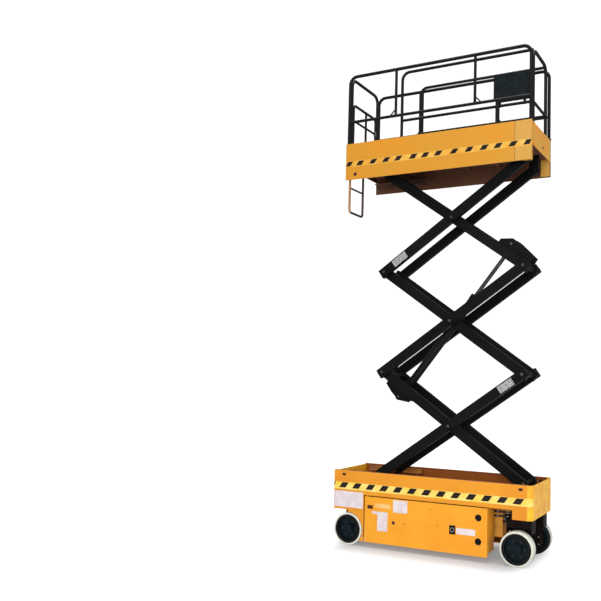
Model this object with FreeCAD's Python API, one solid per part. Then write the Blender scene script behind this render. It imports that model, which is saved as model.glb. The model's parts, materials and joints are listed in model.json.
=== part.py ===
import FreeCAD, Part
import math
import os

# A self-propelled electric scissor lift, in millimetres.
# +X is the steered front, -Y the near side, +Z up. The origin is on the floor,
# below the middle of the chassis. The lift stands raised, as it is stored here.

V = FreeCAD.Vector
AXIS_Y = V(0, 1, 0)
AXIS_Z = V(0, 0, 1)
SIDES = ((-1, "near"), (1, "far"))

# How far a cutter passes a face
OVERCUT = 1.0

# Chassis
CHASSIS_LENGTH = 2486.0
CHASSIS_WIDTH = 800.0
CHASSIS_TOP = 881.0
FLOOR_TOP = 616.0
WALL_FOOT = 608.0
SHEET = 8.0
LIP_WIDTH = 36.0
CORNER_RADIUS = 60.0
FRONT_SKIRT_FOOT = 505.0
FRONT_SKIRT_LENGTH = 227.0
REAR_WALL_FOOT = 418.0
KEEL_WIDTH = 240.0
KEEL_FOOT = 240.0
KEEL_FRONT_INSET = 423.0
KEEL_WALL = 8.0
NOSE_GAP = 8.0

# Wheels and steering
WHEEL_DIAMETER = 381.0
WHEEL_WIDTH = 127.0
RIM_DIAMETER = 322.0
RIM_DISH = 36.0
RIM_WALL = 22.0
RIM_INSET = 3.0
HUB_RADIUS = 55.0
STUB_REACH = 30.0
WHEEL_STANDOUT = 6.0
FRONT_AXLE_INSET = 177.0
REAR_AXLE_INSET = 204.0
AXLE_RADIUS = 25.0
ARCH_GAP = 9.0
REAR_BEAM_DEPTH = 90.0
REAR_BEAM_DROP = 95.0
REAR_BEAM_GAP = 12.0
KINGPIN_INSET = 175.0
KINGPIN_RADIUS = 25.0
YOKE_LENGTH = 290.0
YOKE_FOOT = 396.0
YOKE_TOP = 484.0
YOKE_INSET = 95.0
YOKE_WIDTH = 150.0
AXLE_BEAM_FOOT = 492.0
AXLE_BEAM_LENGTH = 170.0
STEER_ARM = 190.0
STEER_ARM_THICK = 16.0
STEER_ARM_WIDTH = 52.0
STEER_ARM_TIP = 24.0
STEER_EYE_INSET = 20.0
STEER_EYE_RADIUS = 22.0
STEER_EYE_HEIGHT = 32.0
TIE_ROD_RADIUS = 14.0
STEER_BARREL_RADIUS = 32.0
STEER_BARREL_LENGTH = 140.0
STEER_MOUNT_WIDTH = 80.0
STEER_MOUNT_HEIGHT = 40.0
KINGPIN_WASHER = 45.0
COLUMN_LENGTH = 110.0
COLUMN_DEPTH = 90.0
MOTOR_GAP = 8.0
MOTOR_RADIUS = 122.0
MOTOR_LENGTH = 128.0

# Scissor stack
LEVELS = 3
ARM_SPAN = 2150.0
REST_ANGLE = 34.75
ARM_DEPTH = 113.0
ARM_WIDTH = 50.0
ARM_GAP = 8.0
ARM_TO_WALL = 142.0
FRONT_PIN_INSET = 177.0
LOWERED_ANGLE = 5.0
RAISED_ANGLE = 45.0
BASE_PIN_Z = 853.0
BASE_LUG_ROUND = 26.0
PIN_RADIUS = 22.0
PIN_FIT = 0.1
OPEN_FIT = 0.5
PIN_HEAD_RADIUS = 34.0
PIN_HEAD = 10.0
SHAFT_RADIUS = 32.0
ROLLER_RADIUS = 30.0
ROLLER_WIDTH = 30.0
TRACK_RUNOUT = 62.0
TRACK_FLANGE = 8.0
TRACK_WEB = 48.0
SEAT_GAP = 0.3
SIDE_GAP = 4.0

# Lift cylinder, hung between the first and the third inner arms
CYLINDER_FOOT_ALONG = 291.0
CYLINDER_FOOT_DROP = 157.0
CYLINDER_HEAD_ALONG = 321.0
CYLINDER_HEAD_RISE = 128.0
BARREL_RADIUS = 50.0
BARREL_LENGTH = 1550.0
ROD_RADIUS = 24.0
EYE_RADIUS = 46.0
EYE_WIDTH = 2 * BARREL_RADIUS + 12.0
LUG_THICK = 20.0
LUG_GAP = 4.0
BRACKET_BEAM_ALONG = 100.0
BRACKET_BEAM = 78.0
BRACKET_STRUT_ALONG = 360.0
BRACKET_STRUT = 50.0
LUG_FOOT_START = 60.0
LUG_FOOT_END = 400.0
BARREL_BORE_GAP = 12.0
BARREL_BASE_LENGTH = 90.0
GLAND_LENGTH = 60.0
GLAND_STEP = 4.0
PISTON_DEPTH = 640.0
ROD_EYE_STEP = 4.0
ROD_EYE_OVERLAP = 20.0
BARREL_EYE_OVERLAP = 12.0

# Side modules
HINGE_INSET = 18.0
HINGE_RADIUS = 9.0
SWING_GAP = 14.0
GUARD_DEPTH = 22.0
GUARD_HEIGHT = 60.0
MODULE_REAR_INSET = 431.0
MODULE_FRONT_INSET = 510.0
MODULE_FOOT = 62.0
MODULE_TOP = 596.0
MODULE_DEPTH = 225.0
MODULE_SHEET = 6.0
LATCH_RADIUS = 34.0
LATCH_INSET = 105.0
LATCH_HEIGHTS = (224.0, 484.0)
SOCKET_INSET = 415.0
SOCKET_Z = 321.0
SOCKET_WIDTH = 76.0
SOCKET_HEIGHT = 100.0
TRAY_RISE = 40.0
TRAY_GAP = 12.0
BATTERY_INSET = 52.0
BATTERY_PITCH = 330.0
BATTERY_LENGTH = 300.0
BATTERY_HEIGHT = 270.0
TANK_INSET = 112.0
TANK_LENGTH = 450.0
TANK_HEIGHT = 320.0
PUMP_RADIUS = 85.0
PUMP_LENGTH = 310.0
PUMP_HEIGHT = 110.0
SADDLE_ALONG = 160.0
SADDLE_LENGTH = 60.0
SADDLE_WIDTH = 100.0
SADDLE_HEIGHT = 60.0

# Lashing holes in the side walls
LASHING_RADIUS = 14.0
LASHING_DROP = 47.0
LASHING_REAR_INSET = 137.0
LASHING_FRONT_INSET = 133.0

# Platform
PLATFORM_REAR_INSET = 51.0
PLATFORM_FRONT_INSET = 41.0
SKIRT_FOOT_BELOW_PIN = 71.5
SKIRT_DEPTH = 456.0
DECK_BELOW_TOP = 236.0
DECK_SHEET = 8.0
EXTENSION_GAP = 6.0
EXTENSION_SHEET = 6.0
EXTENSION_LENGTH = 1722.0
TOE_DROP = 40.0
TOE_HEIGHT = 110.0
DECK_END_GAP = 20.0
RUNNER_INSET = 67.0
RUNNER_WIDTH = 25.0
RIB_INSET = 192.0
RIB_PITCH = 390.0
RIB_WIDTH = 40.0
RIB_DEPTH = 30.0
PIVOT_LUG_DROP = 20.0

# Guard rails
TUBE_RADIUS = 20.0
RAIL_HEIGHT = 879.0
MID_RAIL_HEIGHT = 281.0
RAIL_INSET = 20.0
RAIL_BEND = 95.0
EXTENSION_RAIL_INSET = 119.0
EXTENSION_POST_INSET = 30.0
EXTENSION_MID_DROP = 28.0
THIN_TUBE_STEP = 3.0
MID_TUBE_STEP = 2.0
REAR_POST_INSET = 27.0
REAR_POST_GAP = 8.0
FRONT_POST_INSET = 20.0
FRONT_HOOP_INSET = 32.0
EXTENSION_TOP_DROP = 6.0
HIGH_REAR_UPRIGHT_INSET = 677.0
HIGH_FRONT_UPRIGHT_INSET = 690.0
LOW_UPRIGHT_INSET = 405.0
GATE_TOP = 540.0
GATE_MID = 338.0
GATE_GAP = 5.0
GATE_FOOT = 30.0
GATE_BEND = 50.0
GATE_BOARD = 150.0
GATE_BOARD_THICK = 6.0
GATE_BAR_Y = 30.0
STRAP_THICK = 16.0
STRAP_HEIGHT = 24.0
LADDER_WIDTH = 330.0
LADDER_Y = -100.0
LADDER_DROP = 370.0
LADDER_TUBE = 15.0
LADDER_TOP_GAP = 40.0
LADDER_BEND = 40.0
RUNG_STEP = 310.0
RUNG_THINNER = 3.0

# Control box
BOX_FRONT_INSET = 62.0
BOX_RISE = 92.0
BOX_LENGTH = 450.0
BOX_HEIGHT = 284.0
BOX_DEPTH = 120.0
BOX_CORNER = 18.0
BOX_FOOT_INSET = 60.0
BOX_FOOT_LENGTH = 30.0
BOX_FOOT_DEPTH = 16.0
LEVER_ALONG = 150.0
LEVER_DROP = 60.0
LEVER_RADIUS = 12.0
LEVER_LENGTH = 55.0
KNOB_RADIUS = 20.0

# Worked out from the sizes above
HALF_LENGTH = CHASSIS_LENGTH / 2
HALF_WIDTH = CHASSIS_WIDTH / 2
INNER_WALL = HALF_WIDTH - SHEET
CORNER_START = HALF_LENGTH - CORNER_RADIUS
KEEL_FRONT = HALF_LENGTH - KEEL_FRONT_INSET
FRONT_AXLE_X = HALF_LENGTH - FRONT_AXLE_INSET
REAR_AXLE_X = REAR_AXLE_INSET - HALF_LENGTH
LASHING_Z = CHASSIS_TOP - LASHING_DROP
LASHING_XS = (LASHING_REAR_INSET - HALF_LENGTH, HALF_LENGTH - LASHING_FRONT_INSET)
WHEEL_RADIUS = WHEEL_DIAMETER / 2
WHEEL_Y = HALF_WIDTH + WHEEL_STANDOUT - WHEEL_WIDTH / 2
WHEEL_BACK_Y = WHEEL_Y - WHEEL_WIDTH / 2
KINGPIN_Y = HALF_WIDTH - KINGPIN_INSET
STEER_EYE_Y = KINGPIN_Y - STEER_EYE_INSET
TIE_ROD_X = FRONT_AXLE_X - STEER_ARM
TIE_ROD_Z = YOKE_TOP - STEER_ARM_THICK
NOSE_FOOT = TIE_ROD_Z + STEER_BARREL_RADIUS + NOSE_GAP
ANGLE = math.radians(REST_ANGLE)
FRONT_PIN_X = HALF_LENGTH - FRONT_PIN_INSET
LEVEL_RISE = ARM_SPAN * math.sin(ANGLE)
ARM_RUN = ARM_SPAN * math.cos(ANGLE)
REAR_PIN_X = FRONT_PIN_X - ARM_RUN
TRACK_REAR = FRONT_PIN_X - ARM_SPAN * math.cos(math.radians(LOWERED_ANGLE)) - TRACK_RUNOUT
TRACK_FRONT = FRONT_PIN_X - ARM_SPAN * math.cos(math.radians(RAISED_ANGLE)) + TRACK_RUNOUT
TOP_PIN_Z = BASE_PIN_Z + LEVELS * LEVEL_RISE
SKIRT_FOOT = TOP_PIN_Z - SKIRT_FOOT_BELOW_PIN
SKIRT_TOP = SKIRT_FOOT + SKIRT_DEPTH
DECK_TOP = SKIRT_TOP - DECK_BELOW_TOP
RAIL_TOP = SKIRT_TOP + RAIL_HEIGHT
MID_RAIL = SKIRT_TOP + MID_RAIL_HEIGHT
EXTENSION_MID_RAIL = MID_RAIL - EXTENSION_MID_DROP
OUTER_FACE_OUT = INNER_WALL - ARM_TO_WALL
OUTER_FACE_IN = OUTER_FACE_OUT - ARM_WIDTH
INNER_FACE_OUT = OUTER_FACE_IN - ARM_GAP
INNER_FACE_IN = INNER_FACE_OUT - ARM_WIDTH
MODULE_REAR = MODULE_REAR_INSET - HALF_LENGTH
MODULE_FRONT = HALF_LENGTH - MODULE_FRONT_INSET
BATTERY_COUNT = int((MODULE_FRONT - MODULE_REAR - 2 * BATTERY_INSET) // BATTERY_PITCH)
LATCH_X = MODULE_FRONT - LATCH_INSET
SOCKET_X = MODULE_FRONT - SOCKET_INSET
TRAY_TOP = MODULE_FOOT + TRAY_RISE + MODULE_SHEET
TRAY_OUT = HALF_WIDTH - GUARD_DEPTH - TRAY_GAP
TRAY_IN = HALF_WIDTH - MODULE_DEPTH + TRAY_GAP
PLATFORM_REAR = PLATFORM_REAR_INSET - HALF_LENGTH
PLATFORM_FRONT = HALF_LENGTH - PLATFORM_FRONT_INSET
DECK_FRONT = PLATFORM_FRONT - DECK_END_GAP
FIRST_RIB_X = PLATFORM_REAR + RIB_INSET
RIB_COUNT = 1 + int((DECK_FRONT - RIB_WIDTH - FIRST_RIB_X) // RIB_PITCH)
EXTENSION_REAR = PLATFORM_FRONT - EXTENSION_LENGTH
EXTENSION_RAIL_REAR = EXTENSION_REAR + EXTENSION_POST_INSET
RUNNER_Y = INNER_WALL - RUNNER_INSET
SIDE_RAIL_Y = HALF_WIDTH - RAIL_INSET
EXTENSION_RAIL_Y = SIDE_RAIL_Y - EXTENSION_RAIL_INSET
REAR_POST_X = PLATFORM_REAR + REAR_POST_INSET
REAR_POST_Y = SIDE_RAIL_Y - 2 * TUBE_RADIUS - REAR_POST_GAP
GATE_TUBE_RADIUS = TUBE_RADIUS - THIN_TUBE_STEP
UPRIGHT_RADIUS = TUBE_RADIUS - THIN_TUBE_STEP


def block(x0, x1, y0, y1, z0, z1):
    """A box between two corners, given in any order."""
    low = V(min(x0, x1), min(y0, y1), min(z0, z1))
    return Part.makeBox(abs(x1 - x0), abs(y1 - y0), abs(z1 - z0), low)


def nosed_block(x0, front, half_width, radius, z0, z1):
    """A block across the machine whose upright front edges are rounded."""
    body = block(x0, front, -half_width, half_width, z0, z1)
    upright = [edge for edge in body.Edges
               if edge.BoundBox.XMin > front - OVERCUT and abs(edge.tangentAt(edge.FirstParameter).z) > 0.9]
    return body.makeFillet(radius, upright)


def rod(start, end, radius):
    """A round bar from one point to another."""
    way = end - start
    return Part.makeCylinder(radius, way.Length, start, way)


def across(x, z, radius, y0, y1):
    """A round bar across the machine."""
    return rod(V(x, y0, z), V(x, y1, z), radius)


def cutter(x, z, radius, y0, y1):
    """A round cutter across a wall, past both of its faces."""
    past = OVERCUT if y1 > y0 else -OVERCUT
    return across(x, z, radius, y0 - past, y1 + past)


def slab(outline, y0, y1):
    """A plate cut to an outline of (x, z) points, standing between two Y planes."""
    wire = Part.makePolygon([V(x, y0, z) for x, z in outline + outline[:1]])
    return Part.Face(wire).extrude(V(0, y1 - y0, 0))


def fuse(shapes):
    """One solid from shapes that touch."""
    return shapes[0].multiFuse(shapes[1:]).removeSplitter()


def both_sides(make):
    """The same piece on the near and the far side, as solids that do not touch."""
    return Part.makeCompound([make(sign) for sign, _ in SIDES])


def bent_tube(corners, bend, radius):
    """A round tube through corner points, each inner corner bent to one radius."""
    pieces = []
    start = corners[0]
    for before, corner, after in zip(corners, corners[1:], corners[2:]):
        into = (corner - before).normalize()
        out = (after - corner).normalize()
        turn = into.getAngle(out)
        setback = bend * math.tan(turn / 2)
        enter = corner - into * setback
        axis = into.cross(out).normalize()
        centre = enter + axis.cross(into) * bend
        section = Part.Face(Part.Wire(Part.makeCircle(radius, enter, into)))
        pieces.append(rod(start, enter, radius))
        pieces.append(section.revolve(centre, axis, math.degrees(turn)))
        start = corner + out * setback
    pieces.append(rod(start, corners[-1], radius))
    return fuse(pieces)


def pin_place(level, along, lift):
    """A joint's place: level 0 to LEVELS, along 0 (rear) to 1 (front), lift in levels."""
    return REAR_PIN_X + along * ARM_RUN, BASE_PIN_Z + (level + lift) * LEVEL_RISE


def save(name, shape):
    """Write one node."""
    shape.exportStep(os.path.join("parts", name + ".step"))


# Chassis

def chassis_side(sign):
    """A side wall with its top lip, its rear wheel arch and its front skirt."""
    rear, front = -HALF_LENGTH, CORNER_START
    outline = [
        (rear, CHASSIS_TOP),
        (front, CHASSIS_TOP),
        (front, FRONT_SKIRT_FOOT),
        (HALF_LENGTH - FRONT_SKIRT_LENGTH, FRONT_SKIRT_FOOT),
        (HALF_LENGTH - FRONT_SKIRT_LENGTH, WALL_FOOT),
        (MODULE_REAR - SWING_GAP, WALL_FOOT),
        (MODULE_REAR - SWING_GAP, MODULE_FOOT),
        (REAR_AXLE_X, MODULE_FOOT),
        (REAR_AXLE_X, REAR_WALL_FOOT),
        (rear, REAR_WALL_FOOT),
    ]
    wall = slab(outline, sign * INNER_WALL, sign * HALF_WIDTH)
    arch = cutter(REAR_AXLE_X, WHEEL_RADIUS, WHEEL_RADIUS + ARCH_GAP, sign * INNER_WALL, sign * HALF_WIDTH)
    lip = block(rear, front, sign * (INNER_WALL - LIP_WIDTH), sign * INNER_WALL,
                CHASSIS_TOP - SHEET, CHASSIS_TOP)
    wall = wall.cut(arch)
    for x in LASHING_XS:
        wall = wall.cut(cutter(x, LASHING_Z, LASHING_RADIUS, sign * INNER_WALL, sign * HALF_WIDTH))
    return fuse([wall, lip])


def chassis_ends():
    """The front plate, wrapped round both corners, and the plate across the rear."""
    foot, top = FRONT_SKIRT_FOOT, CHASSIS_TOP
    behind = CORNER_START - CORNER_RADIUS
    outside = nosed_block(behind, HALF_LENGTH, HALF_WIDTH, CORNER_RADIUS, foot, top)
    inside = nosed_block(behind, HALF_LENGTH - SHEET, INNER_WALL, CORNER_RADIUS - SHEET,
                         foot - OVERCUT, top + OVERCUT)
    cap = block(CORNER_START, HALF_LENGTH, -HALF_WIDTH, HALF_WIDTH, foot, top)
    rear = block(-HALF_LENGTH, SHEET - HALF_LENGTH, -INNER_WALL, INNER_WALL, REAR_WALL_FOOT, top - SHEET)
    return Part.makeCompound([outside.cut(inside).common(cap), rear])


def chassis_floor():
    """The floor of the open tub that the folded arms drop into."""
    end = HALF_LENGTH - SHEET
    floor = nosed_block(-end, end, INNER_WALL, CORNER_RADIUS - SHEET, FLOOR_TOP - SHEET, FLOOR_TOP)
    for sign, _ in SIDES:
        foot = V(MODULE_REAR + HINGE_INSET, sign * (HALF_WIDTH - HINGE_INSET), FLOOR_TOP - SHEET - OVERCUT)
        floor = floor.cut(rod(foot, foot + AXIS_Z * (SHEET + 2 * OVERCUT), HINGE_RADIUS + PIN_FIT))
    return floor


def chassis_keel():
    """The box beam below the floor, with two plates ahead to the front axle."""
    half = KEEL_WIDTH / 2
    top = FLOOR_TOP - SHEET
    rear = SHEET - HALF_LENGTH
    outer = block(rear, KEEL_FRONT, -half, half, KEEL_FOOT, top)
    hollow = block(rear + KEEL_WALL, KEEL_FRONT - KEEL_WALL, KEEL_WALL - half, half - KEEL_WALL,
                   KEEL_FOOT + KEEL_WALL, top - KEEL_WALL)
    pieces = [outer.cut(hollow)]
    for sign, _ in SIDES:
        pieces.append(block(KEEL_FRONT, FRONT_AXLE_X - AXLE_BEAM_LENGTH / 2, sign * (half - KEEL_WALL),
                            sign * half, NOSE_FOOT, top))
    return fuse(pieces)


def roller_track(sign, height, upward):
    """A ledge with a guide web, on which a roller runs along a side wall."""
    seat = height - upward * (ROLLER_RADIUS + SEAT_GAP)
    y_in = OUTER_FACE_OUT + SIDE_GAP
    y_web = y_in + ROLLER_WIDTH + 2 * SIDE_GAP
    rear, front = TRACK_REAR, TRACK_FRONT
    ledge = block(rear, front, sign * y_in, sign * INNER_WALL, seat, seat - upward * TRACK_FLANGE)
    web = block(rear, front, sign * y_web, sign * (y_web + TRACK_FLANGE), seat,
                seat + upward * TRACK_WEB)
    return fuse([ledge, web])


def base_pivot(sign):
    """The lug on the tub floor that holds the first inner arm's front pin."""
    half = ARM_DEPTH / 2
    y0 = sign * OUTER_FACE_IN
    y1 = sign * OUTER_FACE_OUT
    foot = block(FRONT_PIN_X - half, FRONT_PIN_X + half, y0, y1, FLOOR_TOP, BASE_PIN_Z)
    head = across(FRONT_PIN_X, BASE_PIN_Z, BASE_LUG_ROUND, y0, y1)
    bore = cutter(FRONT_PIN_X, BASE_PIN_Z, PIN_RADIUS + PIN_FIT, y0, y1)
    return fuse([foot, head]).cut(bore)


def front_axle():
    """The cross beam under the floor that carries both kingpins."""
    half = AXLE_BEAM_LENGTH / 2
    end = HALF_WIDTH - KINGPIN_INSET + half
    top = FLOOR_TOP - SHEET
    beam = block(FRONT_AXLE_X - half, FRONT_AXLE_X + half, -end, end, AXLE_BEAM_FOOT, top)
    for sign, _ in SIDES:
        foot = V(FRONT_AXLE_X, sign * KINGPIN_Y, AXLE_BEAM_FOOT - OVERCUT)
        bore = rod(foot, foot + AXIS_Z * (top - AXLE_BEAM_FOOT - KEEL_WALL), KINGPIN_RADIUS + PIN_FIT)
        beam = beam.cut(bore)
    return beam


def rear_axle():
    """The rear axle under the keel, with the stubs that the wheels turn on."""
    half = REAR_BEAM_DEPTH / 2
    end = WHEEL_BACK_Y - REAR_BEAM_GAP
    reach = WHEEL_Y + STUB_REACH
    beam = block(REAR_AXLE_X - half, REAR_AXLE_X + half, -end, end, KEEL_FOOT - REAR_BEAM_DROP, KEEL_FOOT)
    stub = across(REAR_AXLE_X, WHEEL_RADIUS, AXLE_RADIUS, -reach, reach)
    return fuse([beam, stub])


def steer_cylinder():
    """The cylinder on the keel's front face, round the middle of the tie rod."""
    x, z = TIE_ROD_X, TIE_ROD_Z
    end = STEER_BARREL_LENGTH / 2
    side = STEER_MOUNT_WIDTH / 2
    half = STEER_MOUNT_HEIGHT / 2
    barrel = across(x, z, STEER_BARREL_RADIUS, -end, end)
    mount = block(KEEL_FRONT, x - TIE_ROD_RADIUS, -side, side, z - half, z + half)
    bore = cutter(x, z, TIE_ROD_RADIUS + PIN_FIT, -end, end)
    return fuse([barrel, mount]).cut(bore)


# Wheels and steering

def tyre(x, sign):
    """A solid tyre round its rim."""
    y0 = sign * WHEEL_BACK_Y
    y1 = sign * (WHEEL_BACK_Y + WHEEL_WIDTH)
    outer = across(x, WHEEL_RADIUS, WHEEL_RADIUS, y0, y1)
    return outer.cut(across(x, WHEEL_RADIUS, RIM_DIAMETER / 2, y0, y1))


def rim(x, sign):
    """A dished steel wheel with its hub, bored for the axle."""
    half = WHEEL_WIDTH / 2 - RIM_INSET
    well = RIM_DIAMETER / 2 - RIM_WALL
    bore_end = WHEEL_Y + STUB_REACH + SEAT_GAP
    y0 = sign * (WHEEL_Y - half)
    y1 = sign * (WHEEL_Y + half)
    body = across(x, WHEEL_RADIUS, RIM_DIAMETER / 2, y0, y1)
    dish = across(x, WHEEL_RADIUS, well, y1, y1 - sign * RIM_DISH)
    back = across(x, WHEEL_RADIUS, well, y0, y0 + sign * RIM_DISH)
    hub = across(x, WHEEL_RADIUS, HUB_RADIUS, y0, y1)
    bore = across(x, WHEEL_RADIUS, AXLE_RADIUS + PIN_FIT, y0 - sign * OVERCUT, sign * bore_end)
    return fuse([body.cut(dish).cut(back), hub]).cut(bore)


def knuckle(sign):
    """The steered yoke: kingpin, box, column, drive motor, stub axle and steering arm."""
    half = YOKE_LENGTH / 2
    y_out = sign * (HALF_WIDTH - YOKE_INSET)
    y_in = y_out - sign * YOKE_WIDTH
    box = block(FRONT_AXLE_X - half, FRONT_AXLE_X + half, y_in, y_out, YOKE_FOOT, YOKE_TOP)
    foot = V(FRONT_AXLE_X, sign * KINGPIN_Y, YOKE_TOP)
    kingpin = rod(foot, foot + AXIS_Z * (FLOOR_TOP - SHEET - YOKE_TOP - 2 * KEEL_WALL), KINGPIN_RADIUS)
    washer = rod(foot, foot + AXIS_Z * (AXLE_BEAM_FOOT - YOKE_TOP - SEAT_GAP), KINGPIN_WASHER)
    side = COLUMN_LENGTH / 2
    motor_y = sign * (WHEEL_BACK_Y - MOTOR_GAP)
    column = block(FRONT_AXLE_X - side, FRONT_AXLE_X + side, motor_y, motor_y - sign * COLUMN_DEPTH,
                   WHEEL_RADIUS, YOKE_FOOT)
    motor = across(FRONT_AXLE_X, WHEEL_RADIUS, MOTOR_RADIUS, motor_y, motor_y - sign * MOTOR_LENGTH)
    stub = across(FRONT_AXLE_X, WHEEL_RADIUS, AXLE_RADIUS, motor_y, sign * (WHEEL_Y + STUB_REACH))
    arm_y = sign * STEER_EYE_Y
    arm_half = STEER_ARM_WIDTH / 2
    arm_top = TIE_ROD_Z - STEER_EYE_HEIGHT / 2 - SEAT_GAP
    arm = block(TIE_ROD_X - STEER_ARM_TIP, FRONT_AXLE_X - half, arm_y - arm_half, arm_y + arm_half,
                arm_top - STEER_ARM_THICK, arm_top)
    return fuse([box, kingpin, washer, column, motor, stub, arm])


def tie_rod():
    """The steering cylinder's through rod, with a flat eye over each steering arm."""
    pieces = [across(TIE_ROD_X, TIE_ROD_Z, TIE_ROD_RADIUS, -STEER_EYE_Y, STEER_EYE_Y)]
    for sign, _ in SIDES:
        eye = V(TIE_ROD_X, sign * STEER_EYE_Y, TIE_ROD_Z - STEER_EYE_HEIGHT / 2)
        pieces.append(rod(eye, eye + AXIS_Z * STEER_EYE_HEIGHT, STEER_EYE_RADIUS))
    return fuse(pieces)


# Side modules

def side_module(sign):
    """A swing-out tray: outer panel, bottom, ends and the bevelled guard along its foot."""
    x0, x1 = MODULE_REAR, MODULE_FRONT
    z0, z1 = MODULE_FOOT, MODULE_TOP
    t = MODULE_SHEET
    out = HALF_WIDTH
    inner = out - MODULE_DEPTH
    panel = block(x0, x1, sign * out, sign * (out - t), z0 + GUARD_HEIGHT, z1)
    for z in LATCH_HEIGHTS:
        panel = panel.cut(cutter(LATCH_X, z, LATCH_RADIUS, sign * (out - t), sign * out))
    panel = panel.cut(block(SOCKET_X - SOCKET_WIDTH / 2, SOCKET_X + SOCKET_WIDTH / 2,
                            sign * (out + OVERCUT), sign * (out - t - OVERCUT),
                            SOCKET_Z - SOCKET_HEIGHT / 2, SOCKET_Z + SOCKET_HEIGHT / 2))
    bottom = block(x0, x1, sign * inner, sign * (out - t), TRAY_TOP - t, TRAY_TOP)
    rear = block(x0, x0 + t, sign * inner, sign * (out - t), TRAY_TOP, z1)
    front = block(x1 - t, x1, sign * inner, sign * (out - t), TRAY_TOP, z1)
    guard = block(x0, x1, sign * out, sign * (out - GUARD_DEPTH), z0, z0 + GUARD_HEIGHT)
    foot = V(x0 + HINGE_INSET, sign * (out - HINGE_INSET), z0 + GUARD_HEIGHT)
    pin = rod(foot, foot + AXIS_Z * (FLOOR_TOP + TRACK_FLANGE - foot.z), HINGE_RADIUS)
    return fuse([panel, bottom, rear, front, guard, pin])


def battery_pack(sign):
    """Four batteries in a row on the near tray."""
    top = TRAY_TOP + BATTERY_HEIGHT
    rears = [MODULE_REAR + BATTERY_INSET + number * BATTERY_PITCH for number in range(BATTERY_COUNT)]
    return Part.makeCompound([block(x, x + BATTERY_LENGTH, sign * TRAY_IN, sign * TRAY_OUT, TRAY_TOP, top)
                              for x in rears])


def hydraulic_unit(sign):
    """The oil tank and the pump motor on the far tray."""
    tank_rear = MODULE_REAR + TANK_INSET
    tank_front = tank_rear + TANK_LENGTH
    middle = sign * (TRAY_OUT + TRAY_IN) / 2
    side = SADDLE_WIDTH / 2
    half = SADDLE_LENGTH / 2
    saddle_x = tank_front + SADDLE_ALONG
    tank = block(tank_rear, tank_front, sign * TRAY_IN, sign * TRAY_OUT, TRAY_TOP, TRAY_TOP + TANK_HEIGHT)
    start = V(tank_front, middle, TRAY_TOP + PUMP_HEIGHT)
    motor = rod(start, start + V(PUMP_LENGTH, 0, 0), PUMP_RADIUS)
    saddle = block(saddle_x - half, saddle_x + half, middle - side, middle + side,
                   TRAY_TOP, TRAY_TOP + SADDLE_HEIGHT)
    return fuse([tank, motor, saddle])


# Scissor arms

def arm(rear, front, y0, y1, bores):
    """A flat arm between two joints, with round ends, bored for its pins."""
    (x0, z0), (x1, z1) = rear, front
    way = V(x1 - x0, 0, z1 - z0).normalize()
    side = way.cross(AXIS_Y) * (ARM_DEPTH / 2)
    back = V(x0, y0, z0)
    fore = V(x1, y0, z1)
    half = ARM_DEPTH / 2
    edges = [
        Part.LineSegment(back + side, fore + side).toShape(),
        Part.Arc(fore + side, fore + way * half, fore - side).toShape(),
        Part.LineSegment(fore - side, back - side).toShape(),
        Part.Arc(back - side, back - way * half, back + side).toShape(),
    ]
    body = Part.Face(Part.Wire(edges)).extrude(V(0, y1 - y0, 0))
    for (x, z), radius in bores:
        body = body.cut(cutter(x, z, radius, y0, y1))
    return body


def inner_arms(level):
    """Arms from the front foot to the rear head of a level, welded to their shafts."""
    rear = pin_place(level, 0, 1)
    front = pin_place(level, 1, 0)
    middle = pin_place(level, 0.5, 0.5)
    bores = [(place, PIN_RADIUS) for place in (rear, middle, front)]
    return both_sides(lambda sign: arm(rear, front, sign * INNER_FACE_IN, sign * INNER_FACE_OUT, bores))


def outer_arms(level):
    """Arms from the rear foot to the front head of a level, turning on the inner arms' pins."""
    rear = pin_place(level, 0, 0)
    front = pin_place(level, 1, 1)
    middle = pin_place(level, 0.5, 0.5)
    rear_bore = PIN_RADIUS if level == 0 else PIN_RADIUS + OPEN_FIT
    bores = [(rear, rear_bore), (middle, PIN_RADIUS + PIN_FIT), (front, PIN_RADIUS + PIN_FIT)]
    return both_sides(lambda sign: arm(rear, front, sign * OUTER_FACE_IN, sign * OUTER_FACE_OUT, bores))


def side_pin(place, sign, y_start, y_end, head):
    """A pin out through the arms of one side, with a retaining head."""
    x, z = place
    pieces = [across(x, z, PIN_RADIUS, sign * y_start, sign * y_end)]
    if head:
        pieces.append(across(x, z, PIN_HEAD_RADIUS, sign * y_end, sign * (y_end + PIN_HEAD)))
    return pieces


def cross_shaft(place, y_end, head=True):
    """A shaft between the inner arms that carries a pin out at each side."""
    x, z = place
    pieces = [across(x, z, SHAFT_RADIUS, -INNER_FACE_IN, INNER_FACE_IN)]
    for sign, _ in SIDES:
        pieces += side_pin(place, sign, INNER_FACE_IN, y_end, head)
    return fuse(pieces)


def roller_shaft(place, y_body):
    """A shaft that ends in a roller at each side."""
    x, z = place
    y_in = OUTER_FACE_OUT + 2 * SIDE_GAP
    pieces = [across(x, z, SHAFT_RADIUS, -y_body, y_body)]
    for sign, _ in SIDES:
        pieces.append(across(x, z, PIN_RADIUS, sign * y_body, sign * y_in))
        pieces.append(across(x, z, ROLLER_RADIUS, sign * y_in, sign * (y_in + ROLLER_WIDTH)))
    return fuse(pieces)


def cylinder_foot():
    """The lower pivot of the lift cylinder, below the first inner arms."""
    return arm_offset(pin_place(0, 0, 1), 1, CYLINDER_FOOT_ALONG, CYLINDER_FOOT_DROP)


def cylinder_head():
    """The upper pivot of the lift cylinder, above the third inner arms."""
    return arm_offset(pin_place(LEVELS - 1, 1, 0), -1, CYLINDER_HEAD_ALONG, CYLINDER_HEAD_RISE)


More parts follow.
